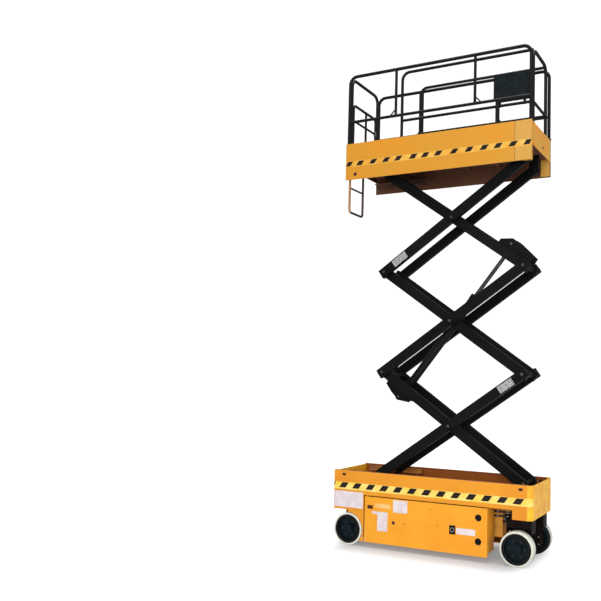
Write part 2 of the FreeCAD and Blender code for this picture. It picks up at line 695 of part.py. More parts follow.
def arm_offset(place, ahead, along, off):
    """A place along an inner arm from one of its ends, and off its axis."""
    x, z = place
    c, s = math.cos(ANGLE), math.sin(ANGLE)
    return x + ahead * (along * c - off * s), z - ahead * (along * s + off * c)


def touch_point(start, centre, radius, hand):
    """Where a line from a start touches a circle, with the circle on one hand of it."""
    x, z = start[0] - centre[0], start[1] - centre[1]
    reach = math.hypot(x, z)
    turn = hand * math.acos(radius / reach)
    along, aside = math.cos(turn) * radius / reach, math.sin(turn) * radius / reach
    return centre[0] + x * along - z * aside, centre[1] + z * along + x * aside


def hump(rear, fore, crest, radius, y0, y1):
    """A plate from a straight foot up to a round crest."""
    outline = [rear]
    for foot, other in ((rear, fore), (fore, rear)):
        touches = [touch_point(foot, crest, radius, hand) for hand in (-1, 1)]
        outline.append(max(touches, key=lambda place: math.dist(place, other)))
    return slab(outline + [fore], y0, y1).fuse(across(crest[0], crest[1], radius, y0, y1))


def arm_bar(end, ahead, along, size, y0, y1):
    """A square bar across the machine, centred on an inner arm's axis."""
    half = size / 2
    corners = [(along - half, -half), (along + half, -half), (along + half, half), (along - half, half)]
    return slab([arm_offset(end, ahead, *corner) for corner in corners], y0, y1)


def cylinder_bracket(end, ahead, along, off):
    """A beam and two struts between the inner arms with the two humped lugs of a cylinder pivot."""
    pieces = [arm_bar(end, ahead, BRACKET_BEAM_ALONG, BRACKET_BEAM, -INNER_FACE_IN, INNER_FACE_IN)]
    rear = arm_offset(end, ahead, LUG_FOOT_START, 0)
    fore = arm_offset(end, ahead, LUG_FOOT_END, 0)
    pivot = arm_offset(end, ahead, along, off)
    lug_in = EYE_WIDTH / 2 + LUG_GAP
    lug_out = lug_in + LUG_THICK
    for sign, _ in SIDES:
        pieces.append(hump(rear, fore, pivot, EYE_RADIUS, sign * lug_in, sign * lug_out))
        pieces.append(arm_bar(end, ahead, BRACKET_STRUT_ALONG, BRACKET_STRUT, sign * lug_out,
                              sign * INNER_FACE_IN))
    return pieces, pivot


def inner_shafts(level):
    """The shafts, pins and cylinder bracket that a pair of inner arms carries."""
    rear = pin_place(level, 0, 1)
    front = pin_place(level, 1, 0)
    middle = pin_place(level, 0.5, 0.5)
    pin_end = OUTER_FACE_OUT + SEAT_GAP
    front_shaft = cross_shaft(front, pin_end)
    if level == LEVELS - 1:
        rear_shaft = roller_shaft(rear, INNER_FACE_IN)
    else:
        rear_shaft = cross_shaft(rear, pin_end)
    shafts = [front_shaft, rear_shaft]
    if level == 1:
        for sign, _ in SIDES:
            shafts.append(fuse(side_pin(middle, sign, INNER_FACE_IN, pin_end, True)))
    else:
        shafts.append(cross_shaft(middle, pin_end))
    if level == 0:
        pieces, (x, z) = cylinder_bracket(rear, 1, CYLINDER_FOOT_ALONG, CYLINDER_FOOT_DROP)
        reach = EYE_WIDTH / 2 + LUG_GAP + LUG_THICK
        pieces.append(across(x, z, PIN_RADIUS, -reach, reach))
        shafts.append(fuse(pieces))
    if level == LEVELS - 1:
        pieces, _ = cylinder_bracket(front, -1, CYLINDER_HEAD_ALONG, CYLINDER_HEAD_RISE)
        shafts.append(fuse(pieces))
    return Part.makeCompound(shafts)


def roller_axle():
    """The axle between the first outer arms' feet, with its rollers."""
    return roller_shaft(pin_place(0, 0, 0), OUTER_FACE_IN)


# Lift cylinder

def cylinder_way():
    """The lift cylinder's foot and its direction towards its head."""
    x0, z0 = cylinder_foot()
    x1, z1 = cylinder_head()
    return V(x0, 0, z0), V(x1 - x0, 0, z1 - z0)


def lift_barrel():
    """The barrel with its eye on the lower pin and its gland at the other end."""
    foot, way = cylinder_way()
    way.normalize()
    half = EYE_WIDTH / 2
    eye = across(foot.x, foot.z, EYE_RADIUS, -half, half)
    end = foot + way * BARREL_LENGTH
    gland_start = foot + way * (BARREL_LENGTH - GLAND_LENGTH)
    tube = rod(foot + way * (EYE_RADIUS - BARREL_EYE_OVERLAP), end, BARREL_RADIUS)
    gland = rod(gland_start, end, BARREL_RADIUS + GLAND_STEP)
    bore = rod(foot + way * BARREL_BASE_LENGTH, gland_start, ROD_RADIUS + BARREL_BORE_GAP)
    mouth = rod(gland_start - way, end + way, ROD_RADIUS + SEAT_GAP)
    barrel = fuse([eye, tube, gland]).cut(bore).cut(mouth)
    return barrel.cut(cutter(foot.x, foot.z, PIN_RADIUS + PIN_FIT, -half, half))


def lift_rod():
    """The piston rod with the eye that sits between the upper lugs."""
    foot, way = cylinder_way()
    length = way.Length
    head = foot + way
    way = way.normalize()
    half = EYE_WIDTH / 2
    eye = across(head.x, head.z, EYE_RADIUS - ROD_EYE_STEP, -half, half)
    bar = rod(foot + way * (BARREL_LENGTH - PISTON_DEPTH), foot + way * (length - ROD_EYE_OVERLAP), ROD_RADIUS)
    return fuse([bar, eye])


# Platform

def platform_skirt(sign):
    """A deep side skirt with the inward top flange that the guard rails stand on."""
    wall = block(PLATFORM_REAR, PLATFORM_FRONT, sign * INNER_WALL, sign * HALF_WIDTH,
                 SKIRT_FOOT, SKIRT_TOP)
    flange = block(PLATFORM_REAR, PLATFORM_FRONT, sign * (INNER_WALL - LIP_WIDTH), sign * INNER_WALL,
                   SKIRT_TOP - SHEET, SKIRT_TOP)
    return fuse([wall, flange])


def platform_deck():
    """The deck plate, its runners for the extension and the ribs below it."""
    rear = PLATFORM_REAR + SHEET
    front = DECK_FRONT
    under = DECK_TOP - DECK_SHEET
    plate = block(rear, front, -INNER_WALL, INNER_WALL, under, DECK_TOP)
    pieces = [plate]
    for sign, _ in SIDES:
        pieces.append(block(EXTENSION_REAR, front, sign * RUNNER_Y, sign * (RUNNER_Y + RUNNER_WIDTH),
                            DECK_TOP, DECK_TOP + EXTENSION_GAP - SEAT_GAP))
    for number in range(RIB_COUNT):
        x = FIRST_RIB_X + number * RIB_PITCH
        pieces.append(block(x - RIB_WIDTH / 2, x + RIB_WIDTH / 2, -INNER_WALL, INNER_WALL,
                            under - RIB_DEPTH, under))
    return fuse(pieces)


def platform_rear():
    """The plate across the rear end, up to the deck."""
    return block(PLATFORM_REAR, PLATFORM_REAR + SHEET, -INNER_WALL, INNER_WALL, SKIRT_FOOT, DECK_TOP)


def platform_pivot(sign):
    """The lug under the deck with the pin for the third outer arm's head."""
    half = ARM_DEPTH / 2
    y_in = INNER_FACE_IN
    y_out = INNER_FACE_OUT
    under = DECK_TOP - DECK_SHEET
    lug = block(FRONT_PIN_X - half, FRONT_PIN_X + half, sign * y_in, sign * y_out, TOP_PIN_Z - PIVOT_LUG_DROP, under)
    round_end = across(FRONT_PIN_X, TOP_PIN_Z, half - PIVOT_LUG_DROP, sign * y_in, sign * y_out)
    pin = side_pin((FRONT_PIN_X, TOP_PIN_Z), sign, y_out, OUTER_FACE_OUT + SEAT_GAP, True)
    return fuse([lug, round_end] + pin)


def ladder():
    """The short ladder that hangs below the platform's rear end."""
    x = PLATFORM_REAR - LADDER_TUBE
    half = LADDER_WIDTH / 2
    foot = SKIRT_FOOT - LADDER_DROP
    top = DECK_TOP - LADDER_TOP_GAP
    corners = [V(x, LADDER_Y - half, top), V(x, LADDER_Y - half, foot),
               V(x, LADDER_Y + half, foot), V(x, LADDER_Y + half, top)]
    frame = bent_tube(corners, LADDER_BEND, LADDER_TUBE)
    step = foot + RUNG_STEP
    rung = rod(V(x, LADDER_Y - half, step), V(x, LADDER_Y + half, step), LADDER_TUBE - RUNG_THINNER)
    return fuse([frame, rung])


def side_rail(sign):
    """A side guard rail: bent top rail, mid rail and short uprights."""
    y = sign * SIDE_RAIL_Y
    rear = REAR_POST_X
    front = PLATFORM_FRONT - FRONT_POST_INSET
    top = RAIL_TOP - TUBE_RADIUS
    hoop = bent_tube([V(rear, y, SKIRT_TOP), V(rear, y, top), V(front, y, top), V(front, y, SKIRT_TOP)],
                     RAIL_BEND, TUBE_RADIUS)
    mid = rod(V(rear, y, MID_RAIL), V(front, y, MID_RAIL), TUBE_RADIUS - MID_TUBE_STEP)
    high = (PLATFORM_REAR + HIGH_REAR_UPRIGHT_INSET, PLATFORM_FRONT - HIGH_FRONT_UPRIGHT_INSET)
    low = PLATFORM_FRONT - LOW_UPRIGHT_INSET
    bars = [rod(V(x, y, MID_RAIL), V(x, y, top), UPRIGHT_RADIUS) for x in high]
    bars.append(rod(V(low, y, SKIRT_TOP), V(low, y, MID_RAIL), UPRIGHT_RADIUS))
    return fuse([hoop, mid] + bars)


def rear_rail():
    """The hoop over the rear entrance."""
    x, y = REAR_POST_X, REAR_POST_Y
    top = RAIL_TOP - TUBE_RADIUS
    return bent_tube([V(x, -y, DECK_TOP), V(x, -y, top), V(x, y, top), V(x, y, DECK_TOP)],
                     RAIL_BEND, TUBE_RADIUS)


def gate():
    """The rear gate, hung on the near post of the hoop."""
    x = REAR_POST_X
    reach = REAR_POST_Y - 2 * TUBE_RADIUS - GATE_GAP
    top = SKIRT_TOP + GATE_TOP
    mid = SKIRT_TOP + GATE_MID
    foot = DECK_TOP + GATE_FOOT
    frame = bent_tube([V(x, -reach, foot), V(x, -reach, top), V(x, reach, top), V(x, reach, foot)],
                      GATE_BEND, GATE_TUBE_RADIUS)
    cross = rod(V(x, -reach, mid), V(x, reach, mid), GATE_TUBE_RADIUS - THIN_TUBE_STEP)
    centre = rod(V(x, GATE_BAR_Y, foot), V(x, GATE_BAR_Y, top), GATE_TUBE_RADIUS - MID_TUBE_STEP)
    half = GATE_BOARD_THICK / 2
    board = block(x - half, x + half, -reach, reach, foot, foot + GATE_BOARD)
    pieces = [frame, cross, centre, board]
    thick = STRAP_THICK / 2
    high = STRAP_HEIGHT / 2
    for z in (foot + GATE_BOARD / 2, mid):
        pieces.append(block(x - thick, x + thick, TUBE_RADIUS + SEAT_GAP - REAR_POST_Y, -reach,
                            z - high, z + high))
    return fuse(pieces)


def extension_deck():
    """The sliding deck with its front plate and side toe boards."""
    z0 = DECK_TOP + EXTENSION_GAP
    front = PLATFORM_FRONT - SHEET
    side = INNER_WALL - LIP_WIDTH - SIDE_GAP
    plate = block(EXTENSION_REAR, front, -side, side, z0, z0 + EXTENSION_SHEET)
    end = block(front, PLATFORM_FRONT, -INNER_WALL + SIDE_GAP, INNER_WALL - SIDE_GAP,
                DECK_TOP - TOE_DROP, SKIRT_TOP - SHEET - SIDE_GAP)
    pieces = [plate, end]
    for sign, _ in SIDES:
        pieces.append(block(EXTENSION_RAIL_REAR, front, sign * side, sign * (side - EXTENSION_SHEET),
                            z0, z0 + TOE_HEIGHT))
    return fuse(pieces)


def extension_rails():
    """The extension's guard rails: a frame each side and a hoop across the front."""
    z0 = DECK_TOP + EXTENSION_GAP + EXTENSION_SHEET
    mid = EXTENSION_MID_RAIL
    top = RAIL_TOP - TUBE_RADIUS
    rear = EXTENSION_RAIL_REAR
    front = PLATFORM_FRONT - FRONT_HOOP_INSET
    y = EXTENSION_RAIL_Y
    pieces = [bent_tube([V(front, -y, z0), V(front, -y, top), V(front, y, top), V(front, y, z0)],
                        RAIL_BEND, TUBE_RADIUS)]
    for sign, _ in SIDES:
        side = sign * y
        level = top - EXTENSION_TOP_DROP
        pieces.append(bent_tube([V(rear, side, z0), V(rear, side, level), V(front, side, level)],
                                RAIL_BEND, TUBE_RADIUS - MID_TUBE_STEP))
        pieces.append(rod(V(rear, side, mid), V(front, side, mid), UPRIGHT_RADIUS))
    pieces.append(rod(V(front, -y, mid), V(front, y, mid), UPRIGHT_RADIUS))
    return fuse(pieces)


def control_box():
    """The control box on two feet at the near extension rail, with its lever inside."""
    y_rail = SEAT_GAP + UPRIGHT_RADIUS - EXTENSION_RAIL_Y
    y_panel = y_rail + BOX_DEPTH
    x0 = PLATFORM_FRONT - BOX_FRONT_INSET - BOX_LENGTH
    z0 = EXTENSION_MID_RAIL + BOX_RISE
    z1 = z0 + BOX_HEIGHT
    body = block(x0, x0 + BOX_LENGTH, y_rail, y_panel, z0, z1)
    edges = [edge for edge in body.Edges if abs(edge.tangentAt(edge.FirstParameter).y) > 0.9]
    pieces = [body.makeFillet(BOX_CORNER, edges)]
    for x in (x0 + BOX_FOOT_INSET, x0 + BOX_LENGTH - BOX_FOOT_INSET - BOX_FOOT_LENGTH):
        pieces.append(block(x, x + BOX_FOOT_LENGTH, y_rail, y_rail + BOX_FOOT_DEPTH,
                            EXTENSION_MID_RAIL - BOX_FOOT_DEPTH / 2, z0))
    seat = V(x0 + LEVER_ALONG, y_panel, z1 - LEVER_DROP)
    pieces.append(rod(seat, seat + AXIS_Y * LEVER_LENGTH, LEVER_RADIUS))
    pieces.append(Part.makeSphere(KNOB_RADIUS, seat + AXIS_Y * (LEVER_LENGTH + KNOB_RADIUS / 2)))
    return fuse(pieces)


def build():
    """Make and write every node."""
    os.makedirs("parts", exist_ok=True)
    for sign, side in SIDES:
        save("chassis_side_" + side, chassis_side(sign))
        save("knuckle_" + side, knuckle(sign))
        save("side_module_" + side, side_module(sign))
        save("rail_" + side, side_rail(sign))
        save("platform_skirt_" + side, platform_skirt(sign))
        for end, x in (("front", FRONT_AXLE_X), ("rear", REAR_AXLE_X)):
            save("rim_" + end + "_" + side, rim(x, sign))
            save("tyre_" + end + "_" + side, tyre(x, sign))
    save("chassis_ends", chassis_ends())
    save("chassis_floor", chassis_floor())
    save("chassis_keel", chassis_keel())
    save("chassis_tracks", both_sides(lambda sign: roller_track(sign, BASE_PIN_Z, 1)))
    save("base_pivots", both_sides(base_pivot))
    save("front_axle", front_axle())
    save("rear_axle", rear_axle())
    save("steer_cylinder", steer_cylinder())
    save("tie_rod", tie_rod())
    save("battery_pack", battery_pack(-1))
    save("hydraulic_unit", hydraulic_unit(1))
    for level in range(LEVELS):
        number = str(level + 1)
        save("inner_arms_" + number, inner_arms(level))
        save("inner_shafts_" + number, inner_shafts(level))
        save("outer_arms_" + number, outer_arms(level))
    save("roller_axle", roller_axle())
    save("lift_barrel", lift_barrel())
    save("lift_rod", lift_rod())
    save("platform_deck", platform_deck())
    save("platform_rear", platform_rear())
    save("platform_tracks", both_sides(lambda sign: roller_track(sign, TOP_PIN_Z, -1)))
    save("platform_pivots", both_sides(platform_pivot))
    save("ladder", ladder())
    save("rear_rail", rear_rail())
    save("gate", gate())
    save("extension_deck", extension_deck())
    save("extension_rails", extension_rails())
    save("control_box", control_box())


build()
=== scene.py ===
"""A raised self-propelled scissor lift, dressed for its studio picture.

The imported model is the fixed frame, in metres: +X is the steered front, -Y the near side and +Z up.
Each sub-assembly is a class that dresses its own nodes, and each finish is a small frozen dataclass.
"""

import json
import logging
import math
from dataclasses import dataclass
from enum import Enum
from functools import cache

import bmesh
import bpy
from mathutils import Matrix, Vector

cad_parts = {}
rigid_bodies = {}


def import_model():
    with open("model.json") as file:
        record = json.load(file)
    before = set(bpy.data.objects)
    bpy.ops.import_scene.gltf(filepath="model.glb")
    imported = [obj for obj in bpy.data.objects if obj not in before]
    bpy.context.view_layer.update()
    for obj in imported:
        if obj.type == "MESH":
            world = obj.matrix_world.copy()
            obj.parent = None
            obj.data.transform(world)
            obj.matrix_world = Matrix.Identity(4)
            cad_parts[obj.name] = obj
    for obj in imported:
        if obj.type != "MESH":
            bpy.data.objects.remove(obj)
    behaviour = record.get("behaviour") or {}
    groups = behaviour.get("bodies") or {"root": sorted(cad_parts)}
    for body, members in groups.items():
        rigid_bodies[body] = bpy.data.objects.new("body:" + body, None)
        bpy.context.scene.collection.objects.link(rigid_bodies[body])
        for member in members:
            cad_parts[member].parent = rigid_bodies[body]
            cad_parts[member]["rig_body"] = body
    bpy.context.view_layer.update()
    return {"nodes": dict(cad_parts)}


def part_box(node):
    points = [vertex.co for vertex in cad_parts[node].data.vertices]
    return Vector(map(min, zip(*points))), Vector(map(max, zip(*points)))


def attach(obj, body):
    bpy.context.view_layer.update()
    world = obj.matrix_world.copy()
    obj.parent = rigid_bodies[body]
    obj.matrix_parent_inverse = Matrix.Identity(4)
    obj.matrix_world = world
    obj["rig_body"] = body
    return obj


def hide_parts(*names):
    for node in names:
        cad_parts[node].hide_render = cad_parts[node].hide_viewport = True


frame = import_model()

log = logging.getLogger("scissor_lift")

Point = tuple[float, float]
Triple = tuple[float, float, float]
Area = tuple[float, float, float, float]
Colour = tuple[float, float, float, float]

AXIS_X = Vector((1, 0, 0))
AXIS_Y = Vector((0, 1, 0))
AXIS_Z = Vector((0, 0, 1))
MILLIMETRE = 0.001
PHOTO_SIDE = 601


class Side(Enum):
    """The two long sides of the machine, with the sign of their Y."""

    NEAR = -1
    FAR = 1

    @property
    def word(self) -> str:
        """The side's word in node names."""
        return self.name.lower()

    @property
    def outward(self) -> Vector:
        """The direction away from the machine on this side."""
        return AXIS_Y * self.value


class End(Enum):
    """The two ends of the machine, with the sign of their X."""

    REAR = -1
    FRONT = 1

    @property
    def word(self) -> str:
        """The end's word in node names."""
        return self.name.lower()


def body_of(node: str) -> str:
    """The body that a CAD node belongs to.

    Args:
        node: The node's name.

    Returns:
        The body's name.
    """
    return frame["nodes"][node]["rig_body"]


class Graph:
    """Adds nodes to one shader tree and joins them."""

    def __init__(self, tree: bpy.types.NodeTree) -> None:
        """Keep the tree that the nodes go into."""
        self.tree = tree

    def add(self, kind: str, **settings: object) -> bpy.types.Node:
        """Add one node.

        Args:
            kind: The node's type name, without its ShaderNode prefix.
            settings: Values for the node's own properties.

        Returns:
            The new node.
        """
        node = self.tree.nodes.new("ShaderNode" + kind)
        for name, value in settings.items():
            setattr(node, name, value)
        return node

    def join(self, source: object, target: bpy.types.NodeSocket) -> None:
        """Feed a socket from another socket, or set it to a constant.

        Args:
            source: An output socket or a plain value.
            target: The input socket.
        """
        if isinstance(source, bpy.types.NodeSocket):
            self.tree.links.new(source, target)
        else:
            target.default_value = source

    def maths(self, operation: str, *values: object, clamp: bool = False) -> bpy.types.NodeSocket:
        """One step of arithmetic.

        Args:
            operation: The Math node's operation.
            values: Its inputs, as sockets or numbers.
            clamp: Whether the result stays between 0 and 1.

        Returns:
            The result's socket.
        """
        node = self.add("Math", operation=operation, use_clamp=clamp)
        for value, socket in zip(values, node.inputs):
            self.join(value, socket)
        return node.outputs[0]

    def blend(self, factor: object, first: object, second: object) -> bpy.types.NodeSocket:
        """A mix of two colours.

        Args:
            factor: How much of the second colour shows.
            first: The first colour, as a socket or a value.
            second: The second colour, as a socket or a value.

        Returns:
            The mixed colour's socket.
        """
        node = self.add("Mix", data_type="RGBA")
        self.join(factor, node.inputs[0])
        self.join(first, node.inputs[6])
        self.join(second, node.inputs[7])
        return node.outputs[2]

    def noise(self, vector: object, scale: object, detail: float = 3.0) -> bpy.types.NodeSocket:
        """Soft three-dimensional noise.

        Args:
            vector: The place's socket.
            scale: How fine the noise is, as a socket or a number.
            detail: How many finer layers it has.

        Returns:
            The noise value's socket.
        """
        node = self.add("TexNoise")
        self.join(vector, node.inputs["Vector"])
        self.join(scale, node.inputs["Scale"])
        node.inputs["Detail"].default_value = detail
        return node.outputs["Fac"]

    def ramp(self, value: object, low: float, high: float) -> bpy.types.NodeSocket:
        """A smooth step from 0 to 1 between two values.

        Args:
            value: The input socket.
            low: Where the step starts.
            high: Where the step ends.

        Returns:
            The step's socket.
        """
        node = self.add("MapRange", interpolation_type="SMOOTHSTEP")
        self.join(value, node.inputs["Value"])
        node.inputs["From Min"].default_value = low
        node.inputs["From Max"].default_value = high
        return node.outputs["Result"]

    def use(self, group: bpy.types.NodeTree, **values: object) -> bpy.types.Node:
        """Place a node group and set its inputs.

        Args:
            group: The group's tree.
            values: Its inputs by name.

        Returns:
            The group's node.
        """
        node = self.tree.nodes.new("ShaderNodeGroup")
        node.node_tree = group
        for name, value in values.items():
            self.join(value, node.inputs[name])
        return node


SOCKET_KINDS = {
    "Colour": "NodeSocketColor",
    "Tone": "NodeSocketColor",
    "Film": "NodeSocketColor",
    "Place": "NodeSocketVector",
    "Normal": "NodeSocketVector",
}

# Where each soft mask starts and is full: noise values, the normal's Z, or the turn of a rounded normal
CLOUD_STEP = (0.35, 0.7)
LYING_STEP = (0.2, 0.95)
PATCH_STEP = (0.3, 0.75)
EDGE_STEP = (0.02, 0.2)
CHIP_STEP = (0.42, 0.62)

# How fine the noises are, per metre, and how much finer the smears are than the clouds
PATCH_FINENESS = 9.0
CHIP_FINENESS = 22.0
SMEAR_FINER = 6.0

# How much the smears change the gloss, and how much the dust dulls it
SMEAR_DEPTH = 0.25
DUST_DULLING = 0.35

DUST = (0.42, 0.38, 0.33, 1)
EDGE_REACH = 2.5 * MILLIMETRE
COAT_ROUGHNESS = 0.12


def start_group(name: str, inputs: list[str], outputs: list[str]) -> tuple[Graph, bpy.types.Node, bpy.types.Node]:
    """Start a shader node group with named sockets.

    Args:
        name: The group's name.
        inputs: Its input names. Names in SOCKET_KINDS have their kind there, and the others are floats.
        outputs: Its output names.

    Returns:
        The group's graph, its input node and its output node.
    """
    tree = bpy.data.node_groups.new(name, "ShaderNodeTree")
    for names, way in ((inputs, "INPUT"), (outputs, "OUTPUT")):
        for socket in names:
            kind = SOCKET_KINDS.get(socket, "NodeSocketFloat")
            tree.interface.new_socket(name=socket, in_out=way, socket_type=kind)
    return Graph(tree), tree.nodes.new("NodeGroupInput"), tree.nodes.new("NodeGroupOutput")


def make_skin_group() -> bpy.types.NodeTree:
    """The sprayed or moulded skin that paint and plastic share.

    Returns:
        A group with a clouded colour, an uneven gloss and a fine height.
    """
    graph, given, out = start_group("skin", ["Place", "Colour", "Tone", "Clouds", "Grain", "Gloss"],
                                    ["Colour", "Roughness", "Height"])
    place, fineness = given.outputs["Place"], given.outputs["Clouds"]
    clouds = graph.ramp(graph.noise(place, fineness), *CLOUD_STEP)
    smear = graph.noise(place, graph.maths("MULTIPLY", fineness, SMEAR_FINER))
    uneven = graph.maths("MULTIPLY", graph.maths("SUBTRACT", smear, 0.5), SMEAR_DEPTH)
    graph.join(graph.blend(clouds, given.outputs["Colour"], given.outputs["Tone"]), out.inputs["Colour"])
    graph.join(graph.maths("ADD", given.outputs["Gloss"], uneven, clamp=True), out.inputs["Roughness"])
    graph.join(graph.noise(place, given.outputs["Grain"], detail=2.0), out.inputs["Height"])
    return graph.tree


def make_film_group() -> bpy.types.NodeTree:
    """A thin film of dust that settles on what faces up.

    Returns:
        A group with the dusted colour and the film's mask.
    """
    graph, given, out = start_group("film", ["Place", "Colour", "Film", "Amount"], ["Colour", "Mask"])
    shape = graph.add("NewGeometry")
    split = graph.add("SeparateXYZ")
    graph.join(shape.outputs["Normal"], split.inputs[0])
    upward = graph.ramp(split.outputs["Z"], *LYING_STEP)
    patches = graph.ramp(graph.noise(given.outputs["Place"], PATCH_FINENESS, detail=5.0), *PATCH_STEP)
    lying = graph.maths("MULTIPLY", upward, patches)
    mask = graph.maths("MULTIPLY", lying, given.outputs["Amount"], clamp=True)
    graph.join(graph.blend(mask, given.outputs["Colour"], given.outputs["Film"]), out.inputs["Colour"])
    graph.join(mask, out.inputs["Mask"])
    return graph.tree


def make_edge_group() -> bpy.types.NodeTree:
    """Rounded edges, and the wear where the rounded normal leaves the flat one.

    Returns:
        A group with the wear's mask and the rounded normal.
    """
    graph, given, out = start_group("edges", ["Place", "Reach", "Amount"], ["Mask", "Normal"])
    rounded = graph.add("Bevel", samples=6)
    graph.join(given.outputs["Reach"], rounded.inputs["Radius"])
    shape = graph.add("NewGeometry")
    match = graph.add("VectorMath", operation="DOT_PRODUCT")
    graph.join(rounded.outputs["Normal"], match.inputs[0])
    graph.join(shape.outputs["Normal"], match.inputs[1])
    edge = graph.ramp(graph.maths("SUBTRACT", 1.0, match.outputs["Value"]), *EDGE_STEP)
    chips = graph.ramp(graph.noise(given.outputs["Place"], CHIP_FINENESS, detail=4.0), *CHIP_STEP)
    worn = graph.maths("MULTIPLY", edge, chips)
    graph.join(graph.maths("MULTIPLY", worn, given.outputs["Amount"], clamp=True), out.inputs["Mask"])
    graph.join(rounded.outputs["Normal"], out.inputs["Normal"])
    return graph.tree


class Groups:
    """The shader node groups, each made once."""

    skin: bpy.types.NodeTree
    film: bpy.types.NodeTree
    edge: bpy.types.NodeTree

    @classmethod
    def make(cls) -> None:
        """Make the groups that the finishes place."""
        cls.skin = make_skin_group()
        cls.film = make_film_group()
        cls.edge = make_edge_group()


@dataclass(frozen=True)
class Zone:
    """A stretch across the machine where a finish takes another colour, which in most zones is a painted shade.

    Attributes:
        colour: The other colour.
        start: Where the change starts, along Y.
        end: Where it is full.
        mirrored: Whether both sides are measured from the middle.
    """

    colour: Colour
    start: float
    end: float
    mirrored: bool = True

    def mask(self, graph: Graph, place: bpy.types.NodeSocket) -> bpy.types.NodeSocket:
        """The stretch's mask.

        Args:
            graph: The material's graph.
            place: The place's socket.

        Returns:
            The mask's socket.
        """
        split = graph.add("SeparateXYZ")
        graph.join(place, split.inputs[0])
        across = split.outputs["Y"]
        if self.mirrored:
            across = graph.maths("ABSOLUTE", across)
        return graph.ramp(across, self.start, self.end)


@dataclass(frozen=True)
class Finish:
    """A sprayed, moulded or printed surface.

    Attributes:
        name: The material's name.
        colour: Its main colour, linear.
        tone: The colour that clouds over it.
        gloss: Its mean roughness.
        coat: The weight of its clear coat.
        metal: Its metallic value.
        clouds: How fine the clouding is, per metre.
        grain: How fine the surface's grain is, per metre.
        relief: The grain's height in metres.
        dust: How much dust lies on it.
        wear: How much its edges are worn.
        worn: The colour of its worn edges.
        specular: Its specular level.
        zones: The stretches where it takes another colour.
    """

    name: str
    colour: Colour
    tone: Colour
    gloss: float
    coat: float = 0.0
    metal: float = 0.0
    clouds: float = 1.6
    grain: float = 420.0
    relief: float = 0.0001
    dust: float = 0.25
    wear: float = 0.4
    worn: Colour = (0.6, 0.5, 0.4, 1)
    specular: float = 0.3
    zones: tuple[Zone, ...] = ()

    def material(self) -> bpy.types.Material:
        """Make the finish as a material.

        Returns:
            The material, from the skin, the worn edges and the dust.
        """
        made = bpy.data.materials.new(f"finish_{self.name}")
        made.use_nodes = True
        graph = Graph(made.node_tree)
        shader = made.node_tree.nodes["Principled BSDF"]
        place = graph.add("TexCoord").outputs["Object"]
        skin = graph.use(Groups.skin, Place=place, Colour=self.colour, Tone=self.tone, Clouds=self.clouds,
                         Grain=self.grain, Gloss=self.gloss)
        colour = skin.outputs["Colour"]
        for zone in self.zones:
            colour = graph.blend(zone.mask(graph, place), colour, zone.colour)
        edge = graph.use(Groups.edge, Place=place, Reach=EDGE_REACH, Amount=self.wear)
        colour = graph.blend(edge.outputs["Mask"], colour, self.worn)
        film = graph.use(Groups.film, Place=place, Colour=colour, Film=DUST, Amount=self.dust)
        rough = graph.maths("ADD", skin.outputs["Roughness"],
                            graph.maths("MULTIPLY", film.outputs["Mask"], DUST_DULLING), clamp=True)
        bump = graph.add("Bump")
        bump.inputs["Distance"].default_value = self.relief
        graph.join(skin.outputs["Height"], bump.inputs["Height"])
        graph.join(edge.outputs["Normal"], bump.inputs["Normal"])
        graph.join(film.outputs["Colour"], shader.inputs["Base Color"])
        graph.join(rough, shader.inputs["Roughness"])
        graph.join(bump.outputs["Normal"], shader.inputs["Normal"])
        shader.inputs["Metallic"].default_value = self.metal
        shader.inputs["Coat Weight"].default_value = self.coat
        shader.inputs["Coat Roughness"].default_value = COAT_ROUGHNESS
        shader.inputs["Specular IOR Level"].default_value = self.specular
        return made


ORANGE = (0.74, 0.29, 0.014, 1)
ORANGE_TONE = (0.68, 0.24, 0.012, 1)
BRIGHT_ORANGE = (0.82, 0.35, 0.016, 1)
DEEP_ORANGE = (0.54, 0.245, 0.022, 1)
# Painted shade: the darker orange-brown of the chassis walls' inner faces
CHASSIS_WALL_SHADE = (0.33, 0.095, 0.014, 1)
# The browns serve as painted shade inside the platform's skirts, under its deck and on the ladder's far post; BROWN
# is also a tone of the chassis floor
BROWN = (0.13, 0.055, 0.03, 1)
BROWN_TONE = (0.06, 0.028, 0.024, 1)
CHIP = (0.35, 0.3, 0.24, 1)
BLACK = (0.003, 0.0032, 0.0036, 1)
BLACK_TONE = (0.0055, 0.0056, 0.006, 1)
DULL = (0.02, 0.021, 0.023, 1)

# Where a finish changes across the machine: inside the walls and inside the tyres, where the other colour is painted
# shade, along the ladder's rungs, and at the ladder's far post, also painted shade
WALL_INSIDE = (0.396, 0.394)
TYRE_INSIDE = (0.312, 0.3)
LADDER_RUNGS = (-0.25, -0.245)
LADDER_FAR_POST = (0.045, 0.05)

